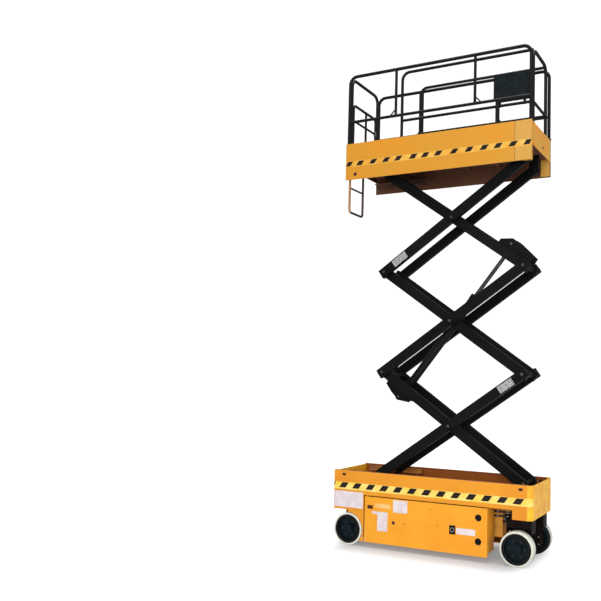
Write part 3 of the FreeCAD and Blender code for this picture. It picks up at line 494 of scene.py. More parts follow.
FINISHES = {finish.name: finish for finish in (
    # The chassis walls' inner faces take a painted shade
    Finish("chassis_paint", ORANGE, ORANGE_TONE, 0.4, worn=CHIP, zones=(Zone(CHASSIS_WALL_SHADE, *WALL_INSIDE),)),
    # corner_paint: the chassis ends' paler, yellower orange is partly their paint and partly a painted highlight of
    # the rounded front corner
    Finish("corner_paint", (0.92, 0.5, 0.02, 1), BRIGHT_ORANGE, 0.4, clouds=9, worn=CHIP, wear=0.2),
    # The platform skirts' inner faces take BROWN as a painted shade
    Finish("platform_paint", DEEP_ORANGE, (0.6, 0.235, 0.013, 1), 0.4, worn=CHIP,
           zones=(Zone(BROWN, *WALL_INSIDE),)),
    Finish("pale_paint", (0.52, 0.28, 0.055, 1), DEEP_ORANGE, 0.4, wear=0.0),
    Finish("front_paint", ORANGE, (0.6, 0.38, 0.05, 1), 0.4, clouds=7, worn=CHIP),
    # ladder_paint: the far post takes BROWN_TONE as a painted shade
    Finish("ladder_paint", (0.42, 0.22, 0.08, 1), (0.3, 0.15, 0.06, 1), 0.4, worn=CHIP,
           zones=(Zone(DULL, *LADDER_RUNGS, mirrored=False), Zone(BROWN_TONE, *LADDER_FAR_POST, mirrored=False))),
    Finish("module_paint", BRIGHT_ORANGE, (0.8, 0.31, 0.014, 1), 0.4, clouds=2.5, worn=CHIP),
    Finish("floor_paint", (0.42, 0.15, 0.022, 1), BROWN, 0.5, dust=0.5),
    Finish("keel_paint", (0.72, 0.33, 0.04, 1), (0.5, 0.2, 0.03, 1), 0.5, clouds=5, dust=0.3),
    Finish("running_gear", (0.0055, 0.0026, 0.002, 1), (0.007, 0.004, 0.0035, 1), 0.55, worn=DULL, dust=0.02,
           wear=0.2, specular=0.08),
    Finish("rim_paint", (0.0008, 0.0045, 0.006, 1), (0.002, 0.009, 0.014, 1), 0.4, clouds=9, worn=DULL, wear=0.1,
           dust=0.0, specular=0.12),
    # tyre_rubber: the tyre's inner half is nearly black, a painted shade
    Finish("tyre_rubber", (0.66, 0.67, 0.58, 1), (0.56, 0.58, 0.5, 1), 0.7, clouds=9, grain=900, relief=0.0004,
           wear=0.0, dust=0.05, zones=(Zone(BLACK_TONE, *TYRE_INSIDE),)),
    Finish("arm_paint", BLACK, BLACK_TONE, 0.5, worn=DULL, dust=0.02, wear=0.3, specular=0.08),
    Finish("pin_steel", (0.16, 0.16, 0.17, 1), (0.08, 0.08, 0.09, 1), 0.32, metal=1.0, clouds=30, dust=0.1),
    Finish("dark_steel", (0.03, 0.03, 0.032, 1), (0.02, 0.02, 0.022, 1), 0.4, metal=0.5, clouds=30, wear=0.0,
           dust=0.05),
    Finish("barrel_paint", BLACK, BLACK_TONE, 0.45, worn=DULL, dust=0.03, specular=0.15),
    Finish("rod_steel", (0.06, 0.06, 0.065, 1), (0.04, 0.04, 0.045, 1), 0.3, metal=0.8, clouds=14, wear=0.0, dust=0.0,
           relief=0.00002),
    Finish("deck_steel", (0.2, 0.2, 0.21, 1), (0.13, 0.13, 0.14, 1), 0.4, metal=0.6, clouds=5, dust=0.4),
    # under_deck: a dark brown that paints the shade under the platform
    Finish("under_deck", BROWN, BROWN_TONE, 0.6, dust=0.1, specular=0.15),
    Finish("rail_paint", BLACK, BLACK_TONE, 0.42, worn=DULL, dust=0.04, wear=0.3, specular=0.18),
    Finish("box_plastic", (0.0025, 0.005, 0.0065, 1), (0.006, 0.012, 0.014, 1), 0.55, clouds=16, grain=1400, wear=0.1,
           worn=DULL, dust=0.03, specular=0.1),
    Finish("box_panel", (0.02, 0.024, 0.025, 1), (0.03, 0.034, 0.035, 1), 0.45, clouds=14, wear=0.0, dust=0.05),
    Finish("battery_case", (0.012, 0.012, 0.013, 1), BLACK, 0.5, clouds=8, worn=DULL),
    Finish("hazard_yellow", (0.84, 0.56, 0.07, 1), (0.88, 0.68, 0.2, 1), 0.45, clouds=7, wear=0.0, dust=0.05),
    Finish("faded_tape", (0.64, 0.31, 0.03, 1), (0.7, 0.42, 0.08, 1), 0.45, clouds=7, wear=0.0, dust=0.05),
    Finish("hazard_black", (0.012, 0.008, 0.008, 1), (0.022, 0.013, 0.01, 1), 0.5, wear=0.0, dust=0.03,
           specular=0.15),
    Finish("blank_label", (0.64, 0.56, 0.6, 1), (0.74, 0.68, 0.66, 1), 0.4, clouds=14, wear=0.0, dust=0.05),
    Finish("pale_label", (0.82, 0.52, 0.2, 1), (0.8, 0.45, 0.12, 1), 0.4, clouds=14, wear=0.0, dust=0.05),
    Finish("arm_label", (0.42, 0.42, 0.42, 1), (0.12, 0.12, 0.12, 1), 0.45, clouds=60, wear=0.0, dust=0.0),
    Finish("eye_rust", (0.05, 0.014, 0.009, 1), (0.03, 0.01, 0.008, 1), 0.6, clouds=20, wear=0.0, dust=0.0),
    Finish("pipe_grey", (0.05, 0.052, 0.055, 1), (0.03, 0.032, 0.035, 1), 0.3, metal=0.5, clouds=12, wear=0.0,
           dust=0.0),
    Finish("dark_rubber", (0.005, 0.0045, 0.0045, 1), (0.008, 0.007, 0.007, 1), 0.6, clouds=20, wear=0.0,
           specular=0.12),
    Finish("zinc", (0.4, 0.39, 0.37, 1), (0.28, 0.27, 0.24, 1), 0.35, metal=1.0, clouds=40, wear=0.0),
    Finish("signal_red", (0.55, 0.02, 0.015, 1), (0.45, 0.015, 0.01, 1), 0.3, coat=0.3, wear=0.0),
)}


@dataclass(frozen=True)
class WallLine:
    """The plan line of a side wall's outer face, bent round its front corner.

    Attributes:
        side: The wall's side.
        face: The outer face's distance from the middle of the machine.
        corner: Where the bend starts, along X.
        radius: The bend's radius, or 0 for a wall that ends there.
    """

    side: Side
    face: float
    corner: float
    radius: float = 0.0

    def point(self, along: float, z: float, proud: float) -> Vector:
        """A point on the wall.

        Args:
            along: The place along the line, which is X as far as the bend.
            z: The height.
            proud: How far the point stands off the face.

        Returns:
            The point, in the machine's frame.
        """
        turn = min(max(along - self.corner, 0.0) / self.radius, math.pi / 2) if self.radius else 0.0
        reach = self.radius + proud
        return Vector((min(along, self.corner) + reach * math.sin(turn),
                       self.side.value * (self.face - self.radius + reach * math.cos(turn)), z))

    def end(self) -> float:
        """The line's last place, at the end of the bend."""
        return self.corner + self.radius * math.pi / 2


def rectangle(rear: float, front: float, foot: float, top: float) -> list[Point]:
    """The corners of an upright rectangle.

    Args:
        rear: Its lowest X.
        front: Its highest X.
        foot: Its lowest Z.
        top: Its highest Z.

    Returns:
        The corners, as (x, z).
    """
    return [(rear, foot), (front, foot), (front, top), (rear, top)]


def ellipse(x: float, z: float, wide: float, high: float, steps: int = 24) -> list[Point]:
    """The corners of an upright ellipse.

    Args:
        x: Its middle along X.
        z: Its middle's height.
        wide: Half its width.
        high: Half its height.
        steps: How many corners it has.

    Returns:
        The corners, as (x, z).
    """
    angles = [math.tau * step / steps for step in range(steps)]
    return [(x + wide * math.cos(angle), z + high * math.sin(angle)) for angle in angles]


def spoke(turns: float, radius: float) -> Vector:
    """A spoke of an upright circle that faces along Y.

    Args:
        turns: Its place round the circle, from 0 to 1.
        radius: Its length.

    Returns:
        The spoke, from the circle's middle.
    """
    angle = math.tau * turns
    return Vector((math.cos(angle), 0, math.sin(angle))) * radius


class Piece:
    """One mesh of the scene, put together from plates, turned parts and tubes."""

    def __init__(self, name: str, finishes: list[str]) -> None:
        """Start an empty piece.

        Args:
            name: The piece's name.
            finishes: Its finishes by name, in the order that the forms index them.
        """
        self.name = name
        self.finishes = finishes
        self.mesh = bmesh.new()

    def _add(self, corners: list[Vector], faces: list[list[int]], finish: int) -> list[bmesh.types.BMFace]:
        """Add faces between new corners.

        Args:
            corners: The corner points.
            faces: Corner indices, face by face.
            finish: The finish's index.

        Returns:
            The new faces.
        """
        points = [self.mesh.verts.new(corner) for corner in corners]
        made = [self.mesh.faces.new([points[index] for index in face]) for face in faces]
        for face in made:
            face.material_index = finish
            face.smooth = True
        return made

    def plate(self, outline: list[Vector], depth: Vector, finish: int = 0) -> None:
        """A flat plate: an outline given thickness along a vector.

        Args:
            outline: The corner points of one face, in order.
            depth: The way to the other face.
            finish: The finish's index.
        """
        count = len(outline)
        corners = list(outline) + [corner + depth for corner in outline]
        faces = [list(range(count)), list(range(2 * count - 1, count - 1, -1))]
        faces += [[(i + 1) % count, i, i + count, (i + 1) % count + count] for i in range(count)]
        bmesh.ops.recalc_face_normals(self.mesh, faces=self._add(corners, faces, finish))

    def box(self, low: Vector, high: Vector, finish: int = 0) -> None:
        """A block between two corners, which the piece's bevel then rounds.

        Args:
            low: One corner.
            high: The opposite corner.
            finish: The finish's index.
        """
        outline = [Vector((low.x, low.y, low.z)), Vector((high.x, low.y, low.z)),
                   Vector((high.x, high.y, low.z)), Vector((low.x, high.y, low.z))]
        self.plate(outline, AXIS_Z * (high.z - low.z), finish)

    def on_wall(self, line: WallLine, outline: list[Point], thick: float, finish: int = 0) -> None:
        """A thin plate on a wall's face.

        Args:
            line: The wall's plan line.
            outline: The plate's corners, as (x, z).
            thick: Its thickness, below 0 for a plate on a face that looks inwards.
            finish: The finish's index.
        """
        self.plate([line.point(x, z, 0) for x, z in outline], line.side.outward * thick, finish)

    def turned(self, profile: list[Point], centre: Vector, axis: Vector, steps: int = 32, finish: int = 0) -> None:
        """A turned part: a profile swept once round an axis.

        Args:
            profile: Points as (radius, place along the axis). A radius of 0 closes an end.
            centre: The axis's zero point.
            axis: The axis's direction.
            steps: How many facets it has round the axis.
            finish: The finish's index.
        """
        turn = AXIS_Z.rotation_difference(axis).to_matrix()
        corners: list[Vector] = []
        rings: list[list[int]] = []
        for radius, along in profile:
            count = steps if radius > 0 else 1
            rings.append(list(range(len(corners), len(corners) + count)))
            for step in range(count):
                angle = math.tau * step / steps
                local = Vector((radius * math.cos(angle), radius * math.sin(angle), along))
                corners.append(centre + turn @ local)
        faces: list[list[int]] = []
        for ring, following in zip(rings, rings[1:]):
            for step in range(steps):
                after = (step + 1) % steps
                face = [ring[step % len(ring)], ring[after % len(ring)],
                        following[after % len(following)], following[step % len(following)]]
                faces.append(list(dict.fromkeys(face)))
        made = self._add(corners, [face for face in faces if len(face) > 2], finish)
        bmesh.ops.recalc_face_normals(self.mesh, faces=made)

    def tube(self, points: list[Vector], radius: float, sides: int = 10, finish: int = 0) -> None:
        """A round bar or hose through points, with flat ends.

        Args:
            points: The centreline's points.
            radius: The bar's radius.
            sides: How many facets it has round its section.
            finish: The finish's index.
        """
        corners: list[Vector] = []
        for index, point in enumerate(points):
            before = points[max(index - 1, 0)]
            after = points[min(index + 1, len(points) - 1)]
            way = (after - before).normalized()
            side = way.orthogonal().normalized() if index == 0 else (side - way * side.dot(way)).normalized()
            across = way.cross(side)
            for step in range(sides):
                angle = math.tau * step / sides
                corners.append(point + (side * math.cos(angle) + across * math.sin(angle)) * radius)
        last = (len(points) - 1) * sides
        faces = [list(range(sides)), [last + step for step in reversed(range(sides))]]
        for ring in range(len(points) - 1):
            for step in range(sides):
                after = (step + 1) % sides
                faces.append([ring * sides + after, ring * sides + step,
                              (ring + 1) * sides + step, (ring + 1) * sides + after])
        bmesh.ops.recalc_face_normals(self.mesh, faces=self._add(corners, faces, finish))

    def swept(self, rings: list[list[Vector]], finish: int = 0) -> None:
        """A closed strip between sections with as many corners each.

        Args:
            rings: The sections' corner points, section by section.
            finish: The finish's index.
        """
        size = len(rings[0])
        corners = [corner for ring in rings for corner in ring]
        last = len(corners) - size
        faces = [list(range(size)), [last + index for index in reversed(range(size))]]
        for start in range(0, last, size):
            for index in range(size):
                after = (index + 1) % size
                faces.append([start + after, start + index, start + size + index, start + size + after])
        bmesh.ops.recalc_face_normals(self.mesh, faces=self._add(corners, faces, finish))

    def button(self, seat: Vector, way: Vector, sizes: Triple, steps: int, finish: int = 0) -> None:
        """A short round part that narrows to a flat tip.

        Args:
            seat: The middle of its foot.
            way: The direction that it points in.
            sizes: Its foot's radius, its tip's radius and its height.
            steps: How many facets it has round its axis.
            finish: The finish's index.
        """
        radius, tip, height = sizes
        self.turned([(0, 0), (radius, 0), (tip, height), (0, height)], seat, way, steps, finish)

    def bolt(self, seat: Vector, way: Vector, radius: float, finish: int = 0) -> None:
        """A washer and a hexagon head, standing on a face.

        Args:
            seat: The point on the face.
            way: The direction out of the face.
            radius: The head's radius to its corners.
            finish: The finish's index.
        """
        washer, head = 0.25 * radius, 0.85 * radius
        self.turned([(0, 0), (1.35 * radius, 0), (1.35 * radius, washer), (0, washer)], seat, way, 16, finish)
        self.turned([(0, washer), (radius, washer), (radius, head * 0.85), (radius * 0.86, head), (0, head)],
                    seat, way, 6, finish)

    def finish_on(self, body: str, replaced: tuple[str, ...] = (),
                  bevel: float = 0.0) -> bpy.types.Object:
        """Turn the piece into an object that rides on a body.

        Args:
            body: The CAD body's name.
            replaced: The CAD nodes that it stands for.
            bevel: The rounding of its sharp edges, in metres.

        Returns:
            The finished object.
        """
        data = bpy.data.meshes.new(self.name)
        self.mesh.to_mesh(data)
        self.mesh.free()
        data.set_sharp_from_angle(angle=math.radians(35))
        made = bpy.data.objects.new(self.name, data)
        bpy.context.scene.collection.objects.link(made)
        for finish in self.finishes:
            data.materials.append(material(finish))
        if bevel:
            round_edges(made, bevel)
        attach(made, body)
        if replaced:
            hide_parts(*replaced)
        log.info("piece %s rides on %s with %d faces", self.name, body, len(data.polygons))
        return made


@cache
def material(finish: str) -> bpy.types.Material:
    """A finish's material, made the first time that it is asked for.

    Args:
        finish: The finish's name.

    Returns:
        The material.
    """
    return FINISHES[finish].material()


def round_edges(made: bpy.types.Object, width: float) -> None:
    """Give an object's sharp edges a small rounding that catches the light.

    Args:
        made: The object.
        width: The rounding's width in metres.
    """
    weld = made.modifiers.new("weld", "WELD")
    weld.merge_threshold = 0.02 * MILLIMETRE
    bevel = made.modifiers.new("bevel", "BEVEL")
    bevel.limit_method = "ANGLE"
    bevel.angle_limit = math.radians(40)
    bevel.width = width
    bevel.segments = 2
    bevel.harden_normals = True


def paint(finish: str, *nodes: str) -> None:
    """Give CAD nodes their finish.

    Args:
        finish: The finish's name.
        nodes: The nodes' names.
    """
    for node in nodes:
        carried = frame["nodes"][node]
        carried.data.materials.clear()
        carried.data.materials.append(material(finish))


@dataclass
class HazardBand:
    """A row of leaning black marks along a side wall, on a pale tape or straight on the paint.

    Attributes:
        name: The piece's name.
        node: The wall's node.
        line: The wall's plan line.
        centre_z: The height of the marks' middle.
        centres: The marks' places along X.
        mark_width: A mark's width.
        mark_height: A mark's height.
        lean: How far a mark's top stands ahead of its foot.
        tape: The tape's lowest and highest Z, or None.
        tape_finish: The tape's finish.
        tape_thick: The tape's thickness.
        mark_thick: The marks' thickness over the wall.
        columns: How many strips a mark is bent in.
    """

    name: str
    node: str
    line: WallLine
    centre_z: float
    centres: list[float]
    mark_width: float = 0.088
    mark_height: float = 0.064
    lean: float = 0.045
    tape: Point | None = None
    tape_finish: str = "hazard_yellow"
    tape_thick: float = 0.8 * MILLIMETRE
    mark_thick: float = 1.2 * MILLIMETRE
    columns: int = 6

    def build(self) -> None:
        """Make the band as one piece."""
        rear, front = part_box(self.node)[0].x, self.line.end()
        piece = Piece(self.name, ["hazard_black", self.tape_finish])
        if self.tape:
            foot, top = self.tape
            bends = [self.line.corner + (front - self.line.corner) * step / self.columns
                     for step in range(self.columns + 1)]
            stops = [rear] + bends
            self.ribbon(piece, [(x, foot) for x in stops], [(x, top) for x in stops], self.tape_thick, 1)
        for centre in self.centres:
            edges = []
            for up in (-1, 1):
                middle = centre + up * self.lean / 2
                start = max(middle - self.mark_width / 2, rear)
                end = max(min(middle + self.mark_width / 2, front), start + MILLIMETRE)
                edges.append([(start + (end - start) * step / self.columns, self.centre_z + up * self.mark_height / 2)
                              for step in range(self.columns + 1)])
            self.ribbon(piece, *edges, self.mark_thick, 0)
        piece.finish_on(body_of(self.node))

    def ribbon(self, piece: Piece, feet: list[Point], tops: list[Point], thick: float, finish: int) -> None:
        """Add a strip that follows the wall.

        Args:
            piece: The band's piece.
            feet: The strip's lower edge, as places along the line and heights.
            tops: Its upper edge, with as many places.
            thick: Its thickness.
            finish: The finish's index.
        """
        rings = []
        for (foot, low), (top, high) in zip(feet, tops):
            rings.append([self.line.point(foot, low, 0), self.line.point(foot, low, thick),
                          self.line.point(top, high, thick), self.line.point(top, high, 0)])
        piece.swept(rings, finish)


def side_line(side: Side) -> WallLine:
    """The plan line of a chassis wall, with its rounded front corner.

    Args:
        side: The wall's side.

    Returns:
        The line.
    """
    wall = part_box(f"chassis_side_{side.word}")[1]
    return WallLine(side, abs(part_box("chassis_side_far")[1].y), wall.x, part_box("chassis_ends")[1].x - wall.x)


@dataclass
class Chassis:
    """The orange tub with its walls, floor, keel, roller tracks and axles.

    Attributes:
        mark_z: The height of the warning marks' middle.
        first_mark: The rearmost mark's place along the wall.
        mark_pitch: The step from mark to mark.
        mark_count: How many marks a side has.
        tape: The tape's lowest and highest Z.
        lashing_radius: The lashing holes' radius.
        lashing_drop: How far the holes lie below the wall's top.
        lashing_insets: How far they lie from the rear end and from the front end.
        cup_reach: The outer radius of the cup behind a hole, as a multiple of the hole's.
        cup_depths: How deep the cup's mouth, its floor and its back lie behind the wall's face.
        eye_rim: Half the width and half the height of the rusty rim round a hole.
        pipe_radius: The steering pipes' radius.
        pipe_ends: Where the pipes start and end, along X.
        pipe_heights: The pipes' heights.
        pipe_bend: How far a pipe's bent end reaches along X and towards the keel.
        clip_inset: How far the outer clips lie from the pipes' ends.
        clip_half: Half a clip's size along each axis.
        plate: The rear, front, foot and top of the blank plate over the near rear wheel.
    """

    mark_z: float = 0.706
    first_mark: float = -1.2882
    mark_pitch: float = 0.1827
    mark_count: int = 14
    tape: Point = (0.655, 0.742)
    lashing_radius: float = 0.014
    lashing_drop: float = 0.047
    lashing_insets: Point = (0.137, 0.133)
    cup_reach: float = 1.3
    cup_depths: Triple = (0.008, 0.024, 0.026)
    eye_rim: Point = (0.027, 0.017)
    pipe_radius: float = 0.012
    pipe_ends: Point = (0.6, 0.93)
    pipe_heights: Point = (0.526, 0.478)
    pipe_bend: Point = (0.012, 0.02)
    clip_inset: float = 0.05
    clip_half: Triple = (0.01, 0.011, 0.013)
    plate: Area = (-1.238, -0.838, 0.444, 0.634)

    def build(self) -> None:
        """Dress the chassis."""
        # The walls' finish paints shade on their inner faces
        paint("chassis_paint", "chassis_side_near", "chassis_side_far")
        # The ends' paler paint is partly a painted highlight
        paint("corner_paint", "chassis_ends")
        paint("floor_paint", "chassis_floor", "chassis_tracks", "base_pivots")
        paint("keel_paint", "chassis_keel")
        paint("running_gear", "front_axle", "rear_axle", "steer_cylinder")
        centres = [self.first_mark + number * self.mark_pitch for number in range(self.mark_count)]
        for side in Side:
            HazardBand(f"hazard_band_chassis_{side.word}", f"chassis_side_{side.word}", side_line(side), self.mark_z,
                       centres, tape=self.tape).build()
            self.lashing_eyes(side)
            self.pipes(side)
        self.blank_plate()

    def blank_plate(self) -> None:
        """The blank plate over the near rear wheel."""
        piece = Piece("blank_plate_rear", ["blank_label"])
        piece.on_wall(side_line(Side.NEAR), rectangle(*self.plate), 0.8 * MILLIMETRE)
        piece.finish_on("chassis")

    def lashing_eyes(self, side: Side) -> None:
        """The rusty rims round a wall's lashing holes and the pressed cups behind them.

        Args:
            side: The wall's side.
        """
        line = side_line(side)
        rear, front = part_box("chassis_ends")[0].x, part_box("chassis_ends")[1].x
        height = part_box("chassis_side_near")[1].z - self.lashing_drop
        radius = self.lashing_radius
        outer = radius * self.cup_reach
        mouth, floor, back = self.cup_depths
        cup = [(outer, -mouth), (outer, -back), (0, -back), (0, -floor), (radius, -floor), (radius, -mouth),
               (outer, -mouth)]
        piece = Piece(f"lashing_eyes_{side.word}", ["eye_rust"])
        for x in (rear + self.lashing_insets[0], front - self.lashing_insets[1]):
            piece.turned(cup, line.point(x, height, 0), side.outward, 24)
            piece.on_wall(line, ellipse(x, height, *self.eye_rim), 0.6 * MILLIMETRE)
        piece.finish_on("chassis")

    def pipes(self, side: Side) -> None:
        """The two steering pipes along the keel's side, up to the front axle.

        Args:
            side: The keel's side.
        """
        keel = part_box("chassis_keel")[1]
        piece = Piece(f"steering_pipes_{side.word}", ["pipe_grey", "zinc"])
        rear, front = self.pipe_ends
        ahead, inward = self.pipe_bend
        half = Vector(self.clip_half)
        y = side.value * (keel.y + self.pipe_radius)
        for z in self.pipe_heights:
            route = [Vector((rear, y - side.value * inward, z)), Vector((rear + ahead, y, z)), Vector((front, y, z))]
            piece.tube(route, self.pipe_radius, 12)
            for x in (rear + self.clip_inset, (rear + front) / 2, front - self.clip_inset):
                clip = Vector((x, y, z))
                piece.box(clip - half, clip + half, 1)
        piece.finish_on("chassis")


@dataclass
class SideTray:
    """A swing-out tray with its panel, latches, socket and blank labels.

    Attributes:
        side: The tray's side.
        latch_places: The latches' places, as (x, z).
        latch_radius: The radius of the openings over the latches.
        socket_place: The socket's place, as (x, z).
        socket_half: Half the width and half the height of the socket's opening.
        labels: The blank labels, each as its rear, front, foot and top.
        pale_label: The label that is nearly the paint's colour.
        studs: The small round fixings, each as (x, z, radius).
        slot: The dark slot at the panel's rear end.
        battery_count: How many batteries stand on the near tray.
        battery_gap: The gap between batteries.
        caps: The first cap's place from a battery's rear end, the step from cap to cap, and their count.
        posts: The two posts' places from a battery's rear end.
        post_inset: How far the posts stand from the battery's inner side.
        cap_shape: A cap, as (radius, height).
        post_shape: A post's foot radius, tip radius and height.
        grip_thick: How thick the latches' grips are.
        grip_depth: How deep the grips lie in their openings.
        socket_depths: How far the socket's back and its mouth lie behind the panel's face.
        socket_ring: The ring in the socket, as (radius, place along its axis).
    """

    side: Side
    latch_places: tuple[Point, ...] = ((0.628, 0.484), (0.628, 0.224))
    latch_radius: float = 0.034
    socket_place: Point = (0.318, 0.321)
    socket_half: Point = (0.038, 0.05)
    labels: tuple[Area, ...] = (
        (-0.433, -0.247, 0.442, 0.585),
        (-0.709, -0.503, 0.4, 0.432),
        (-0.64, -0.503, 0.209, 0.4),
        (0.366, 0.594, 0.28, 0.35),
    )
    pale_label: Area = (-0.67, -0.47, 0.475, 0.525)
    studs: tuple[Triple, ...] = (
        (-0.426, 0.321, 0.021),
        (-0.283, 0.324, 0.007),
        (0.134, 0.357, 0.006),
        (0.05, 0.52, 0.006),
        (-0.09, 0.3, 0.005),
    )
    slot: Area = (-0.775, -0.7, 0.455, 0.498)
    battery_count: int = 4
    battery_gap: float = 0.03
    caps: tuple[float, float, int] = (0.06, 0.09, 3)
    posts: Point = (0.03, 0.27)
    post_inset: float = 0.03
    cap_shape: tuple[Point, ...] = ((0, 0), (0.016, 0), (0.016, 0.009), (0.013, 0.012), (0, 0.012))
    post_shape: Triple = (0.009, 0.008, 0.016)
    grip_thick: float = 0.012
    grip_depth: float = 0.018
    socket_depths: Point = (0.03, 0.007)
    socket_ring: tuple[Point, ...] = ((0.018, 0), (0.026, 0), (0.026, 0.006), (0.018, 0.006))

    def build(self) -> None:
        """Dress the tray."""
        node = f"side_module_{self.side.word}"
        paint("module_paint", node)
        if self.side is Side.NEAR:
            paint("battery_case", "battery_pack")
            self.battery_tops()
        else:
            paint("running_gear", "hydraulic_unit")
        low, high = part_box(node)
        line = WallLine(self.side, high.y if self.side is Side.FAR else -low.y, high.x)
        self.fittings(node, line)
        if self.side is Side.NEAR:
            self.blank_labels(node, line)

    def battery_tops(self) -> None:
        """The caps and posts on top of the batteries."""
        low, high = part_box("battery_pack")
        piece = Piece("battery_tops", ["dark_rubber", "zinc"])
        pitch = (high.x - low.x + self.battery_gap) / self.battery_count
        first, step, count = self.caps
        for number in range(self.battery_count):
            rear = low.x + number * pitch
            for cell in range(count):
                centre = Vector((rear + first + cell * step, (low.y + high.y) / 2, high.z))
                piece.turned(list(self.cap_shape), centre, AXIS_Z, 20)
            for post in self.posts:
                foot = Vector((rear + post, high.y - self.post_inset, high.z))
                piece.button(foot, AXIS_Z, self.post_shape, 16, 1)
        piece.finish_on("module_near")

    def fittings(self, node: str, line: WallLine) -> None:
        """The latches in their round openings and the socket in its square one.

        Args:
            node: The tray's node.
            line: The panel's plan line.
        """
        way = self.side.outward
        piece = Piece(f"tray_fittings_{self.side.word}", ["dark_rubber", "zinc"])
        radius = self.latch_radius
        cup = [(0, -0.022), (radius * 0.9, -0.022), (radius * 0.96, -0.004), (radius * 1.12, -0.0005),
               (radius * 1.12, 0.0012), (radius * 0.92, 0.0015), (radius * 0.86, -self.grip_depth),
               (0, -self.grip_depth)]
        grip_half = Vector((radius * 0.7, 0, 0.007))
        for x, z in self.latch_places:
            piece.turned(cup, line.point(x, z, 0), way, 32)
            grip = line.point(x, z, -self.grip_depth)
            piece.box(grip - grip_half, grip + grip_half + way * self.grip_thick)
        wide, high = self.socket_half
        spread = Vector((wide, 0, high)) * 1.1
        back, mouth = (line.point(*self.socket_place, -depth) for depth in self.socket_depths)
        piece.box(back - spread, mouth + spread)
        piece.turned(list(self.socket_ring), mouth, way, 24, 1)
        piece.finish_on(body_of(node), bevel=0.8 * MILLIMETRE)

    def blank_labels(self, node: str, line: WallLine) -> None:
        """The blank labels, the slot and the small fixings on the panel.

        Args:
            node: The tray's node.
            line: The panel's plan line.
        """
        piece = Piece("blank_labels_tray", ["blank_label", "eye_rust", "pale_label"])
        for label in self.labels:
            piece.on_wall(line, rectangle(*label), 0.5 * MILLIMETRE)
        piece.on_wall(line, rectangle(*self.pale_label), 0.5 * MILLIMETRE, 2)
        piece.on_wall(line, rectangle(*self.slot), 0.6 * MILLIMETRE, 1)
        for x, z, radius in self.studs:
            piece.turned([(0, 0), (radius, 0), (radius * 0.8, 0.0018), (0, 0.0025)], line.point(x, z, 0),
                         self.side.outward, 20, 1)
        piece.finish_on(body_of(node))


@dataclass
class Wheel:
    """A solid tyre on a dished rim, with its nuts and its hub cap.

    Attributes:
        end: The end of the machine that it is at.
        side: The side that it is on.
        shoulder: The radius of the tyre's shoulders.
        shoulder_steps: How many facets a shoulder has.
        flange_reach: How far the rim's flange laps over the tyre's wall.
        flange_depth: How far the wall is set back for the flange.
        lip: The wall's edge round the flange, as (radius, place along the axis) from the flange's edge.
        steps: How many facets the tyre has round its axis.
        nut_count: How many nuts the wheel has.
        nut_circle: The radius of the nuts' circle.
        nut_radius: A nut's radius to its corners.
        dish: How deep the rim is dished.
        rim_wall: How thick the rim is in front.
        cap_radius: The hub cap's radius.
    """

    end: End
    side: Side
    shoulder: float = 0.01
    shoulder_steps: int = 6
    flange_reach: float = 0.008
    flange_depth: float = 0.0035
    lip: tuple[Point, ...] = ((0.0015, -0.0005), (0.004, 0.0))
    steps: int = 72
    nut_count: int = 6
    nut_circle: float = 0.088
    nut_radius: float = 0.011
    dish: float = 0.036
    rim_wall: float = 0.022
    cap_radius: float = 0.034

    def build(self) -> None:
        """Dress the wheel."""
        word = f"{self.end.word}_{self.side.word}"
        paint("rim_paint", f"rim_{word}")
        self.tyre(word)
        self.nuts(word)

    def tyre(self, word: str) -> None:
        """The tyre with rounded shoulders and a moulded ring on each wall.

        Args:
            word: The wheel's words in node names.
        """
        node = f"tyre_{word}"
        low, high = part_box(node)
        centre = (low + high) / 2
        outer = (high.z - low.z) / 2
        half = (high.y - low.y) / 2
        seat = (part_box(f"rim_{word}")[1].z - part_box(f"rim_{word}")[0].z) / 2
        lap = seat + self.flange_reach
        right = [(seat, half - self.flange_depth), (lap, half - self.flange_depth)]
        right += [(lap + reach, half + along) for reach, along in self.lip]
        turn = self.shoulder
        for number in range(self.shoulder_steps + 1):
            angle = math.pi / 2 * number / self.shoulder_steps
            right.append((outer - turn + turn * math.sin(angle), half - turn + turn * math.cos(angle)))
        profile = right + [(radius, -along) for radius, along in reversed(right)] + [right[0]]
        # The tyre's finish paints shade on its inner half
        piece = Piece(f"solid_tyre_{word}", ["tyre_rubber"])
        piece.turned(profile, centre, AXIS_Y, self.steps)
        piece.finish_on(body_of(node), replaced=(node,))

    def nuts(self, word: str) -> None:
        """The wheel nuts in the dish, the flange's ring and the cap on the hub.

        Args:
            word: The wheel's words in node names.
        """
        node = f"rim_{word}"
        low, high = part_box(node)
        way = self.side.outward
        face = (low + high) / 2 + way * (high.y - low.y) / 2
        piece = Piece(f"hub_{word}", ["rim_paint", "dark_steel", "dark_rubber"])
        for number in range(self.nut_count):
            seat = face - way * self.dish + spoke(number / self.nut_count, self.nut_circle)
            piece.bolt(seat, way, self.nut_radius, 1)
        outer = (high.z - low.z) / 2
        bore, edge = outer - self.rim_wall, outer + self.flange_reach - MILLIMETRE
        ring = [(bore, 0.0), (edge, 0.0), (edge, 0.0014), (edge - 0.003, 0.002), (bore, 0.002), (bore, 0.0)]
        piece.turned(ring, face, way, self.steps, 2)
        cap = self.cap_radius
        piece.turned([(0, -0.002), (cap, -0.002), (cap, 0.0005), (cap * 0.8, 0.0022), (0, 0.0026)], face, way, 32, 0)
        piece.finish_on(body_of(node))


